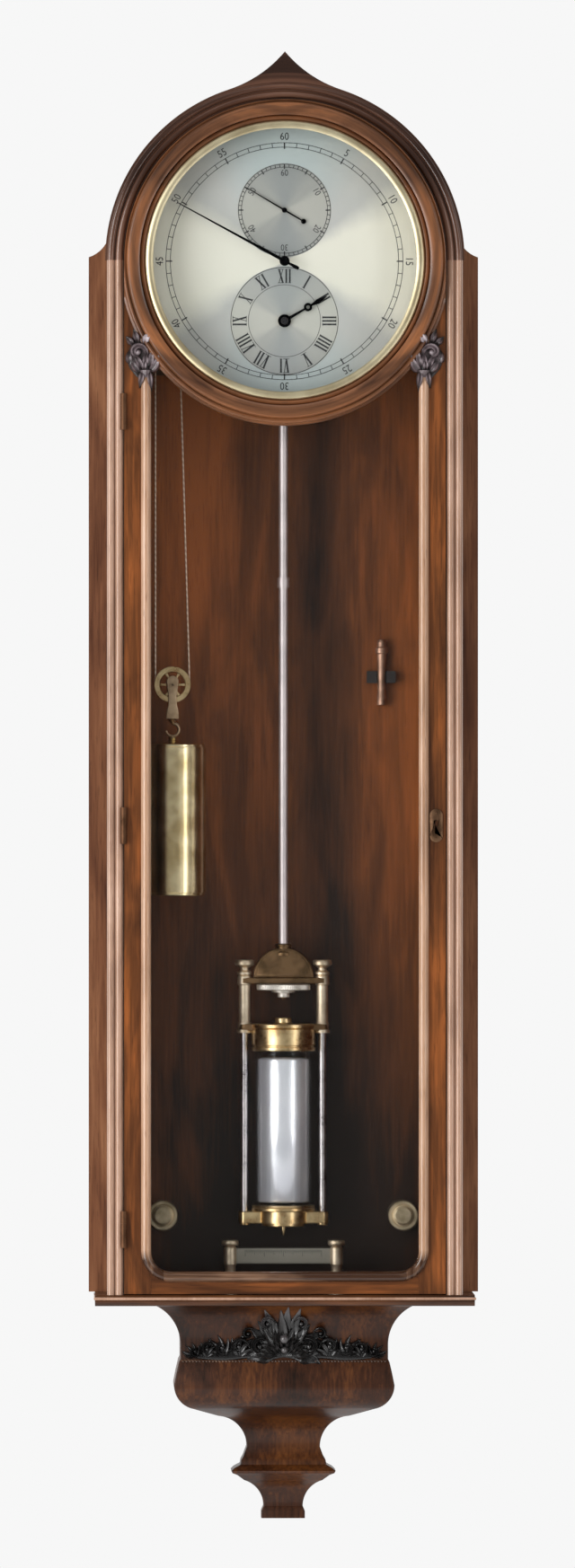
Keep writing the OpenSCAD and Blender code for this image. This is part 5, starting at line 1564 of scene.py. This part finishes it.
@dataclass
class Movement:
    """Plates, wheels, drum and guide pulley behind the dial."""

    drum_r: float = 26.0
    turns: int = 9
    pitch: float = 1.95
    first_turn: float = 16.5

    def wound_gut(self) -> None:
        """Winds the line on its drum and lays it over the guide pulley."""
        start = span("back_plate").low.y + self.first_turn
        wound = self.drum_r + 0.2
        steps = 36
        path = []
        for i in range(self.turns * steps + 1):
            a = math.tau * i / steps
            path.append(at(wound * math.cos(a), start + self.pitch * i / steps,
                           DRUM[1] + wound * math.sin(a)))
        Shape().tube(path, GUT_R, 8).piece("drum_line", GUT, "drum", crease=60)
        # The straight run follows the outer tangent of the drum and the guide pulley.
        f = span("guide_gut").f
        lead = Vector((GUIDE[0] - DRUM[0], GUIDE[1] - DRUM[1]))
        along = lead.normalized()
        across = Vector((along.y, -along.x))
        share = (self.drum_r - GUIDE_R) / lead.length
        normal = share * along + math.sqrt(1 - share * share) * across
        first = Vector(DRUM) + (self.drum_r + GUT_R + 1) * normal
        last = Vector(GUIDE) + GUIDE_R * normal
        wrap = math.degrees(math.atan2(normal.y, normal.x))
        line = [tuple(first.lerp(last, i / 24)) for i in range(24)]
        line += arc(GUIDE, GUIDE_R, wrap, 180, 24)
        Shape().tube([at(x, f, z) for x, z in line], GUT_R, 10
                     ).piece("guide_line", GUT, "case", ["guide_gut"], crease=60)

    def build(self) -> None:
        """Dresses the movement."""
        dress(BRASS, "front_plate", "back_plate", "centre_wheel", "third_wheel",
              "escape_wheel", "great_wheel", "intermediate_wheel", "hour_wheel", "guide_pulley",
              "pendulum_cock", "hanger_plate")
        dress(PLATE_BRONZE, "guide_bracket")
        dress(ARBOR_BRASS, "drum")
        dress(STEEL, "click", "pallets", "case_screws", "suspension_spring")
        self.wound_gut()


@dataclass
class Pendulum:
    """Mercury pendulum: rod, yoke, rating nut, brass frame, jar and mercury."""

    post_x: float = 38.8
    bar_end: float = 6.0
    bar_half: float = 7.0
    knob_h: float = 18.0
    socket_h: float = 6.0
    base_h: float = 18.0
    yoke_half: float = 30.0
    jar_r: float = 28.0
    wall: float = 2.5
    collar_r: float = 32.0

    def yoke(self) -> None:
        """Files the half-round yoke with its raised rim and turned socket."""
        low, high = span("jar_yoke")
        foot = span("jar_frame").high.z - self.knob_h
        top, half, p = high.z, self.yoke_half, PLANE
        shape = Shape()
        dome = arc((0, foot), half, 0, 180, 48)
        shape.plate(dome, (p - 8, p + 7.4), 1.4)
        inner = arc((0, foot + 1.8), half - 3.4, 0, 180, 40)
        shape.plate(inner, (p + 7.2, p + 8.0), 0.7)
        shape.lathe([(5.0, foot + 20), (9.6, foot + 22), (9.8, foot + 25), (8.4, foot + 26.5),
                     (7.6, foot + 29), (7.6, top - 3.2), (8.2, top - 2.6), (8.2, top - 1.2),
                     (6.8, top - 0.2), (4.6, top)], (0, p), Axis.UP, 48)
        shape.lathe([(2.9, low.z + 0.6), (3.0, low.z + 1.2), (3.0, foot)], (0, p), Axis.UP, 24)
        shape.piece("yoke_plate", YOKE_BRASS, "pendulum", ["jar_yoke"], crease=40)

    def bar(self, shape: Shape, foot: float, top: float, ease: float) -> None:
        """A bar from post to post with round ends and eased edges.

        Args:
            shape: What it is added to.
            foot: Its underside.
            top: Its upper side.
            ease: How far its edges are eased.
        """
        x, half = self.post_x, self.bar_half
        turns = [math.radians(d) for d in range(-90, 91, 15)]
        ends = [(x + self.bar_end * math.cos(a), half * math.sin(a)) for a in turns]
        plan = ends + [(-u, -v) for u, v in ends]
        shape.skin([[at(u * (1 - inset / (x + self.bar_end)), PLANE + v * (1 - inset / half), z)
                     for u, v in plan]
                    for inset, z in ((ease, foot), (0, foot + ease), (0, top - ease), (ease, top))])

    def frame(self) -> None:
        """Turns the posts with their flat knobs, and makes the bars and steel side rods."""
        low, high = span("jar_frame")
        p, x = PLANE, self.post_x
        knob = high.z
        top = knob - self.knob_h
        mid = span("jar_collar").high.z - self.socket_h
        brass, bars, steel = Shape(), Shape(), Shape()
        for side in (-1, 1):
            profile = [(4.0, mid - 9.4), (7.4, mid - 9.0), (7.4, mid - 6.2), (6.2, mid - 5.6),
                       (6.6, mid + 0.6), (5.7, mid + 1.8), (5.7, top - 7.6), (6.9, top - 6.6),
                       (6.9, top + 1.2), (6.0, top + 2.2), (7.2, top + 3.2), (7.2, top + 5.4),
                       (4.2, top + 7.4), (4.4, top + 9.6), (6.6, top + 11.6), (9.4, top + 12.8),
                       (9.5, top + 14.4), (9.2, top + 16.8), (8.2, knob - 0.2), (0.6, knob)]
            brass.lathe(profile, (side * x, p), Axis.UP, 48)
            steel.lathe([(3.6, low.z - 0.2), (3.6, mid - 7)], (side * x, p), Axis.UP, 32)
        self.bar(bars, top - 6, top, 0.7)
        self.bar(bars, mid - 7, mid, 0.7)
        brass.piece("frame_posts", POST_BRASS, "pendulum", ["jar_frame"], crease=38)
        bars.piece("frame_bars", YOKE_BRASS, "pendulum", ["jar_frame"], crease=38)
        steel.piece("side_rods", STEEL, "pendulum", ["jar_frame"], crease=38)

    def nut(self) -> None:
        """Turns and mills the rating nut."""
        nut = span("rating_nut")
        low, high, r = nut.low, nut.high, nut.r
        base = low.z + 7
        Shape().lathe([(3.2, low.z), (5.4, low.z), (6.0, low.z + 0.6), (6.0, base - 2.4),
                       (11.6, base - 1.8), (12.0, base - 0.2), (r - 1.2, base + 0.2),
                       (r, base + 1.0), (r, high.z - 1.0), (r - 1.0, high.z - 0.3),
                       (r - 3.0, high.z), (3.2, high.z)], (0, PLANE), Axis.UP, 180, knurl=0.5
                      ).piece("milled_nut", NUT_STEEL, "rating_nut", ["rating_nut"], crease=24)

    def jar(self) -> None:
        """Blows the jar, fills it, and turns its collar and base."""
        low, high = span("glass_jar")
        p, r = PLANE, self.jar_r
        top, foot = high.z, low.z
        inner = r - self.wall
        Shape().lathe([(0.5, foot), (r - 1.2, foot), (r, foot + 1.2), (r, top), (inner, top),
                       (inner, foot + 4.5), (inner - 1.5, foot + 3), (0.5, foot + 3)], (0, p),
                      Axis.UP, 96, closed=True
                      ).piece("jar_glass", JAR_GLASS, "pendulum", ["glass_jar"])
        fill = span("mercury").high.z
        body = inner - 0.05
        Shape().lathe([(0.5, foot + 3.05), (body - 1.4, foot + 3.05), (body, foot + 4.6),
                       (body, fill - 3.4), (body - 0.5, fill - 2.2), (body - 1.8, fill - 1.2),
                       (body - 4.5, fill - 0.4), (body - 10, fill), (0.5, fill)], (0, p), Axis.UP,
                      96).piece("quicksilver_fill", QUICKSILVER, "pendulum", ["mercury"], crease=50)
        low, high = span("jar_collar")
        c, mid = self.collar_r, high.z - self.socket_h
        Shape().lathe([(r + 0.2, low.z), (c - 0.6, low.z), (c, low.z + 0.8), (c, low.z + 3.4),
                       (c - 1.4, low.z + 4.2), (c - 1.4, low.z + 5.2), (c - 0.3, low.z + 6.0),
                       (c - 0.3, mid - 5.6), (c - 1.2, mid - 4.8), (c, mid - 3.8), (c, mid - 0.9),
                       (c - 1.0, mid), (10.5, mid), (9.6, mid + 0.8), (8.5, mid + 1.2),
                       (8.5, high.z - 1), (7.6, high.z), (0.6, high.z)], (0, p), Axis.UP, 96
                      ).piece("collar_turning", BRASS, "pendulum", ["jar_collar"], crease=36)
        low, high = span("jar_base")
        bar = high.z - self.base_h
        base = Shape().lathe([(0.6, bar - 3), (20.2, bar - 3), (21, bar - 2.2), (21, bar + 0.1),
                              (24, bar + 0.3), (24, bar + 11.8), (c - 0.8, bar + 12),
                              (c, bar + 12.8), (c, bar + 15.0), (c - 1.0, bar + 15.8),
                              (c - 0.6, bar + 17.4), (c - 1.6, bar + 18), (0.6, bar + 18)],
                             (0, p), Axis.UP, 96)
        self.bar(base, bar, bar + 12, 0.8)
        base.lathe([(2.5, bar - 3), (2.6, bar - 4.6), (1.9, bar - 5.4), (1.9, bar - 6.4),
                    (0.4, low.z)], (0, p), Axis.UP, 24)
        for side in (-1, 1):
            base.lathe([(4.6, bar - 1.6), (5.2, bar - 0.9), (5.2, bar + 0.2)],
                       (side * self.post_x, p), Axis.UP, 32)
        base.piece("base_turning", BRASS, "pendulum", ["jar_base"], crease=38)

    def build(self) -> None:
        """Makes the pendulum's pieces."""
        dress(ROD_STEEL, "pendulum_rod")
        self.yoke()
        self.frame()
        self.nut()
        self.jar()


@dataclass
class DrivingWeight:
    """Brass weight on its gut line and spoked pulley."""

    groove_r: float = 17.0
    eye_h: float = 8.0
    stirrup_drop: float = 34.0

    def shell(self) -> None:
        """Turns the weight's shell with its fillets, cap and eye."""
        shell = span("weight_shell")
        x, f, r = shell.x, shell.f, shell.r
        top, foot = shell.high.z - self.eye_h, shell.low.z
        Shape().lathe([(0.6, foot), (r - 2.2, foot), (r - 1.4, foot + 0.7), (r - 1.4, foot + 2.6),
                       (r, foot + 3.2), (r, top - 3.4), (r - 1.3, top - 2.8), (r - 1.3, top - 0.8),
                       (r - 2.4, top), (14, top + 0.6), (7, top + 1.4), (5, top + 2.6),
                       (3.6, top + 4), (4.4, top + 5.4), (3.0, top + 7.4), (0.6, top + 8)],
                      (x, f), Axis.UP, 120
                      ).piece("weight_turning", WEIGHT_BRASS, "weight", ["weight_shell"], crease=34)

    def wheel(self) -> None:
        """Turns and crosses the pulley, and files its stirrup."""
        pulley = span("weight_pulley")
        x, f, z, rim = pulley.x, pulley.f, pulley.z, pulley.r
        g = self.groove_r
        half = [(g - 4.5, 2.2), (g - 3.9, 2.9), (rim - 0.4, 3), (rim, 2.5), (g + 0.2, 1.3),
                (g - 1.0, 0.5)]
        wheel = Shape().lathe([(r, f - d) for r, d in half] + [(r, f + d) for r, d in half[::-1]],
                              (x, z), count=96, closed=True)
        wheel.lathe([(2.05, f - 5), (4.4, f - 5), (5, f - 4.4), (5, f + 4.4), (4.4, f + 5),
                     (2.05, f + 5)], (x, z), count=40, closed=True)
        for i in range(6):
            a = math.radians(60 * i)
            c, s = math.cos(a), math.sin(a)
            spoke = [(4.4, -1.6), (8.5, -1.0), (g - 4.2, -1.5), (g - 4.2, 1.5), (8.5, 1.0),
                     (4.4, 1.6)]
            wheel.plate([(x + u * c - v * s, z + u * s + v * c) for u, v in spoke],
                        (f - 1.6, f + 1.6), 0.5)
        wheel.piece("pulley_wheel", BRASS, "weight_pulley", ["weight_pulley"], crease=40)
        low, high = span("pulley_stirrup")
        foot = z - self.stirrup_drop
        # Cheeks that swell at the pin and at the foot
        flank = [(5.4, z - 4), (3.9, z - 12), (4.4, z - 20), (6, z - 27), (6, foot)]
        cheek = (arc((x, z + 3), 6, 0, 180, 16) + [(x - u, v) for u, v in flank]
                 + [(x + u, v) for u, v in flank[::-1]])
        strap = Shape()
        for a, b in ((low.y, low.y + 2.5), (high.y - 2.5, high.y)):
            strap.plate(cheek, (a, b), 0.6)
        strap.block((x - 6, x + 6), (low.y + 0.2, high.y - 0.2), (foot, foot + 4))
        strap.lathe([(1.9, low.y + 0.3), (1.9, high.y - 0.1)], (x, z), count=24)
        strap.lathe([(3.4, high.y - 0.1), (3.4, high.y - 0.6), (1.0, high.y)], (x, z), count=24)
        # Swivel and open hook down to the weight's eye
        eye = span("weight_shell").high.z
        strap.lathe([(3.6, foot), (4.2, foot - 1.6), (2.6, foot - 3.4), (1.9, foot - 4.6)],
                    (x, f), Axis.UP, 24)
        drop = foot - 4.6 - eye
        hook = [(x, foot - 4.2)] + arc((x, eye + drop / 2), drop / 2 + 0.3, 90, -170, 18)
        strap.tube([at(px, f, pz) for px, pz in hook], lambda t: 1.9 - 0.7 * t, 10)
        strap.piece("stirrup_strap", STIRRUP_BRASS, "weight", ["pulley_stirrup"], crease=40)

    def line(self) -> None:
        """Hangs the gut: a loop round the pulley and two falls from the guide pulley down to it."""
        pulley = span("weight_pulley")
        x, f, z = pulley.x, pulley.f, pulley.z
        g = self.groove_r
        Shape().tube([at(u, f, v) for u, v in arc((x, z), g, 180, 360, 40)], GUT_R, 10
                     ).piece("pulley_line", GUT, "weight", ["gut_loop"], crease=60)
        gx, gz = GUIDE
        falls = Shape()
        steps = 60
        for top, foot in ((gx - GUIDE_R, x + g), (x - g, x - g)):
            falls.tube([at(top + (foot - top) * i / steps, f,
                           gz - 0.3 + (z - gz + 0.3) * i / steps) for i in range(steps + 1)],
                       GUT_R, 10)
        obj = falls.piece("hanging_line", GUT, "", ["gut_falls"], crease=60)
        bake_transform(obj)

    def build(self) -> None:
        """Makes the weight's pieces."""
        self.shell()
        self.wheel()
        self.line()


@dataclass
class Fittings:
    """Beat plate, steadying screws, winding key and its clip."""

    post_x: float = 53.0
    division: float = 1.9
    screw_head: float = 11.0

    def beat(self) -> None:
        """Cuts the beat plate with its divisions, on two turned posts."""
        low, high = span("beat_plate")
        foot, top = low.z, high.z
        x, p = self.post_x, PLANE
        z0, z1 = foot + 28, foot + 43
        half = x - 4.6
        slope = [(-half, z0), (half, z0), (half, z1), (-half, z1)]
        Shape().plate(slope, (p - 1, p + 1), 0.4).piece("beat_scale", SILVERED_SCALE, "case",
                                                        ["beat_plate"])
        marks = Shape()
        for i in range(-20, 21):
            size = 5.5 if i % 10 == 0 else 3.8 if i % 5 == 0 else 2.4
            u = i * self.division
            marks.block((u - 0.22, u + 0.22), (p + 1, p + 1.05), (z1 - 2.4 - size, z1 - 2.4))
        marks.block((-38.4, 38.4), (p + 1, p + 1.05), (z1 - 2.6, z1 - 2.2))
        marks.piece("beat_divisions", WAX, "case")
        posts = Shape()
        for side in (-1, 1):
            posts.lathe([(8.5, foot), (8.5, foot + 2.6), (7.6, foot + 4), (6.0, foot + 4.6),
                         (5.5, foot + 7), (5.0, foot + 16), (5.5, foot + 26), (6.3, foot + 27),
                         (6.3, foot + 43.6), (5.3, foot + 44.6), (4.6, foot + 45.6),
                         (8.0, foot + 46.2), (8.5, foot + 47), (8.5, top - 1.2),
                         (7.8, top - 0.2), (0.6, top)],
                        (side * x, p), Axis.UP, 48)
        posts.piece("beat_posts", POST_BRASS, "case", ["beat_plate"], crease=38)

    def screws(self) -> None:
        """Turns and knurls the two steadying screws."""
        for side in ("left", "right"):
            name = f"steady_screw_{side}"
            screw = span(name)
            low, high, r = screw.low, screw.high, screw.r
            head = high.y - self.screw_head
            shank = [(0.6, low.y), (3.2, low.y + 0.1)]
            h = low.y + 2
            while h < head - 1.5:
                shank += [(4.0, h), (3.5, h + 0.7)]
                h += 1.4
            profile = shank + [(4.0, head), (r - 0.9, head), (r, head + 0.8), (r, head + 7.2),
                               (r - 0.9, head + 8), (11.6, head + 8), (10.6, head + 7.2),
                               (9.6, head + 7.4), (9.0, head + 10.2), (7.8, high.y), (0.6, high.y)]
            Shape().lathe(profile, (screw.x, screw.z), count=144, knurl=0.55
                          ).piece(f"{name}_knurled", AGED_BRASS, f"steady_{side}", [name],
                                  crease=24)

    def key(self) -> None:
        """Turns the winding key and dresses its clip."""
        key = span("winding_key")
        a, b = key.low.z, key.high.z
        Shape().lathe([(2.6, a + 9), (2.6, a), (4.1, a), (4.5, a + 0.5), (4.5, a + 9),
                       (4.0, a + 10), (4.0, b - 22), (4.5, b - 21), (4.5, b - 15),
                       (6.0, b - 14), (6.0, b - 9),
                       (4.6, b - 8), (3.9, b - 6), (4.5, b - 3), (3.6, b - 0.8), (0.6, b)],
                      (key.x, key.f), Axis.UP, 40
                      ).piece("key_turning", KEY_BRASS, "key", ["winding_key"])
        dress(EBONY, "key_clip")

    def build(self) -> None:
        """Makes the fittings."""
        self.beat()
        self.screws()
        self.key()


# Studio


@dataclass
class Studio:
    """Pale background and floor, two tall softboxes, a weak one above, and the camera."""

    scale_mm: float = 0.89
    centre_px: Flat = (317.0, 290.0)
    face_f: float = 160.0
    distance: float = 16.0
    aside: float = -0.8
    film_mm: float = 36.0
    clock_middle: float = -0.6
    floor_half: float = 2.5
    floor_back: float = 0.8
    floor_drop: float = 0.8

    def camera(self) -> None:
        """A long lens a little left of the clock's middle, which takes the photograph's frame."""
        data = bpy.data.cameras.new("front_camera")
        cam = bpy.data.objects.new("front_camera", data)
        bpy.context.scene.collection.objects.link(cam)
        x = (IMAGE[0] / 2 - self.centre_px[0]) * self.scale_mm
        z = -(IMAGE[1] / 2 - self.centre_px[1]) * self.scale_mm
        turn = math.radians(self.aside)
        aim = at(x, self.face_f, z)
        cam.location = aim + self.distance * Vector((math.sin(turn), -math.cos(turn), 0))
        cam.rotation_euler = (math.pi / 2, 0, turn)
        data.sensor_width = self.film_mm
        data.lens = self.film_mm * self.distance / (IMAGE[1] * self.scale_mm / 1000)
        data.clip_end = 60.0
        bpy.context.scene.camera = cam

    def softbox(self, name: str, aim: float, power: float, width: float, height: float,
                rise: float = 0.0, far: float = 3.2) -> None:
        """An area lamp that faces the clock.

        Args:
            name: Its name.
            aim: Degrees round from the front, right side positive.
            power: Watts.
            width: Metres.
            height: Metres.
            rise: Metres above the clock's middle.
            far: Metres away.
        """
        data = bpy.data.lights.new(name, "AREA")
        data.shape = "RECTANGLE"
        data.size, data.size_y = width, height
        data.energy = power
        lamp = bpy.data.objects.new(name, data)
        turn = math.radians(aim)
        middle = Vector((0, 0, self.clock_middle))
        lamp.location = middle + Vector((math.sin(turn) * far, -math.cos(turn) * far, rise))
        lamp.rotation_euler = (middle - lamp.location).to_track_quat("-Z", "Y").to_euler()
        bpy.context.scene.collection.objects.link(lamp)

    def world(self) -> None:
        """Pale behind the clock and for the camera, a softer grey room in front of it."""
        world = bpy.data.worlds.new("studio")
        bpy.context.scene.world = world
        world.use_nodes = True
        tree = world.node_tree
        tree.nodes.clear()
        path = add_node(tree, "ShaderNodeLightPath")
        way = add_node(tree, "ShaderNodeTexCoord").outputs["Generated"]
        parts = add_node(tree, "ShaderNodeSeparateXYZ", {}, {0: way})
        # The backdrop stands behind the clock; the room in front of it is dimmer.
        behind = add_node(tree, "ShaderNodeMapRange",
                          {"From Min": -0.45, "From Max": 0.2, "To Min": 0.2, "To Max": 1.0},
                          {"Value": parts.outputs["Y"]})
        level = add_node(tree, "ShaderNodeMath", {"operation": "ABSOLUTE"},
                         {0: parts.outputs["Z"]})
        band = add_node(tree, "ShaderNodeMapRange",
                        {"From Min": 0.3, "From Max": 0.75, "To Min": 1.0, "To Max": 0.3},
                        {"Value": level})
        backdrop = add_node(tree, "ShaderNodeMath", {"operation": "MULTIPLY"},
                            {0: behind, 1: band})
        mirrored = add_node(tree, "ShaderNodeMath", {"operation": "MULTIPLY"},
                            {0: path.outputs["Is Glossy Ray"], 1: backdrop})
        through = add_node(tree, "ShaderNodeMath", {"operation": "ADD"},
                           {0: path.outputs["Is Camera Ray"],
                            1: path.outputs["Is Transmission Ray"]})
        shown = add_node(tree, "ShaderNodeMath", {"operation": "ADD", "use_clamp": True},
                         {0: through, 1: mirrored})
        # Less light comes up from below than down from the ceiling.
        ceiling = add_node(tree, "ShaderNodeMapRange",
                           {"From Min": -0.6, "From Max": 0.6, "To Min": 0.12, "To Max": 0.66},
                           {"Value": parts.outputs["Z"]})
        pale = add_node(tree, "ShaderNodeBackground", {"Color": linear("#f7f7f7")})
        room = add_node(tree, "ShaderNodeBackground", {"Color": (1, 1, 1, 1)},
                        {"Strength": ceiling})
        dark = add_node(tree, "ShaderNodeBackground", {"Color": linear("#202022")})
        unseen = add_node(tree, "ShaderNodeMixShader", {},
                          {0: path.outputs["Is Glossy Ray"], 1: room, 2: dark})
        mix = add_node(tree, "ShaderNodeMixShader", {}, {0: shown, 1: unseen, 2: pale})
        add_node(tree, "ShaderNodeOutputWorld", {}, {"Surface": mix})

    def floor(self) -> None:
        """A pale floor, well below the clock."""
        mesh = bpy.data.meshes.new("floor")
        low, half, back = CAD_BOX[0].z - self.floor_drop, self.floor_half, self.floor_back
        mesh.from_pydata([(-half, -half, low), (half, -half, low), (half, back, low),
                          (-half, back, low)], [], [(0, 1, 2, 3)])
        obj = bpy.data.objects.new("floor", mesh)
        bpy.context.scene.collection.objects.link(obj)
        made = bpy.data.materials.new("pale_floor")
        made.use_nodes = True
        tree = made.node_tree
        noise = add_node(tree, "ShaderNodeTexNoise", {"Scale": 6.0})
        tone = add_node(tree, "ShaderNodeValToRGB",
                        {"stops": ((0.3, "#efefef"), (0.7, "#f5f5f5"))},
                        {"Fac": noise.outputs["Fac"]})
        set_node(tree, tree.nodes["Principled BSDF"], {"Roughness": 0.8}, {"Base Color": tone})
        mesh.materials.append(made)

    def build(self) -> None:
        """Sets up the studio."""
        bpy.context.scene.view_settings.view_transform = "Standard"
        self.camera()
        self.world()
        self.floor()
        self.softbox("softbox_left", aim=-46, power=88, width=1.6, height=2.6)
        self.softbox("softbox_right", aim=42, power=20, width=0.5, height=2.6)
        self.softbox("softbox_top", aim=0, power=6, width=2.2, height=0.8, rise=2.4, far=2.2)


def write_sizes() -> None:
    """Brings the view layer up to date."""
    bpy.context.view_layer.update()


def main() -> None:
    """Builds the studio and each sub-assembly in order."""
    logging.basicConfig(level=logging.INFO, format="%(name)s: %(message)s")
    for part in (Studio(), Casework(), BaseBracket(), Dial(), Door(), Movement(), Pendulum(),
                 DrivingWeight(), Fittings()):
        log.info("building %s", type(part).__name__)
        part.build()
    write_sizes()


if __name__ == "__main__":
    main()
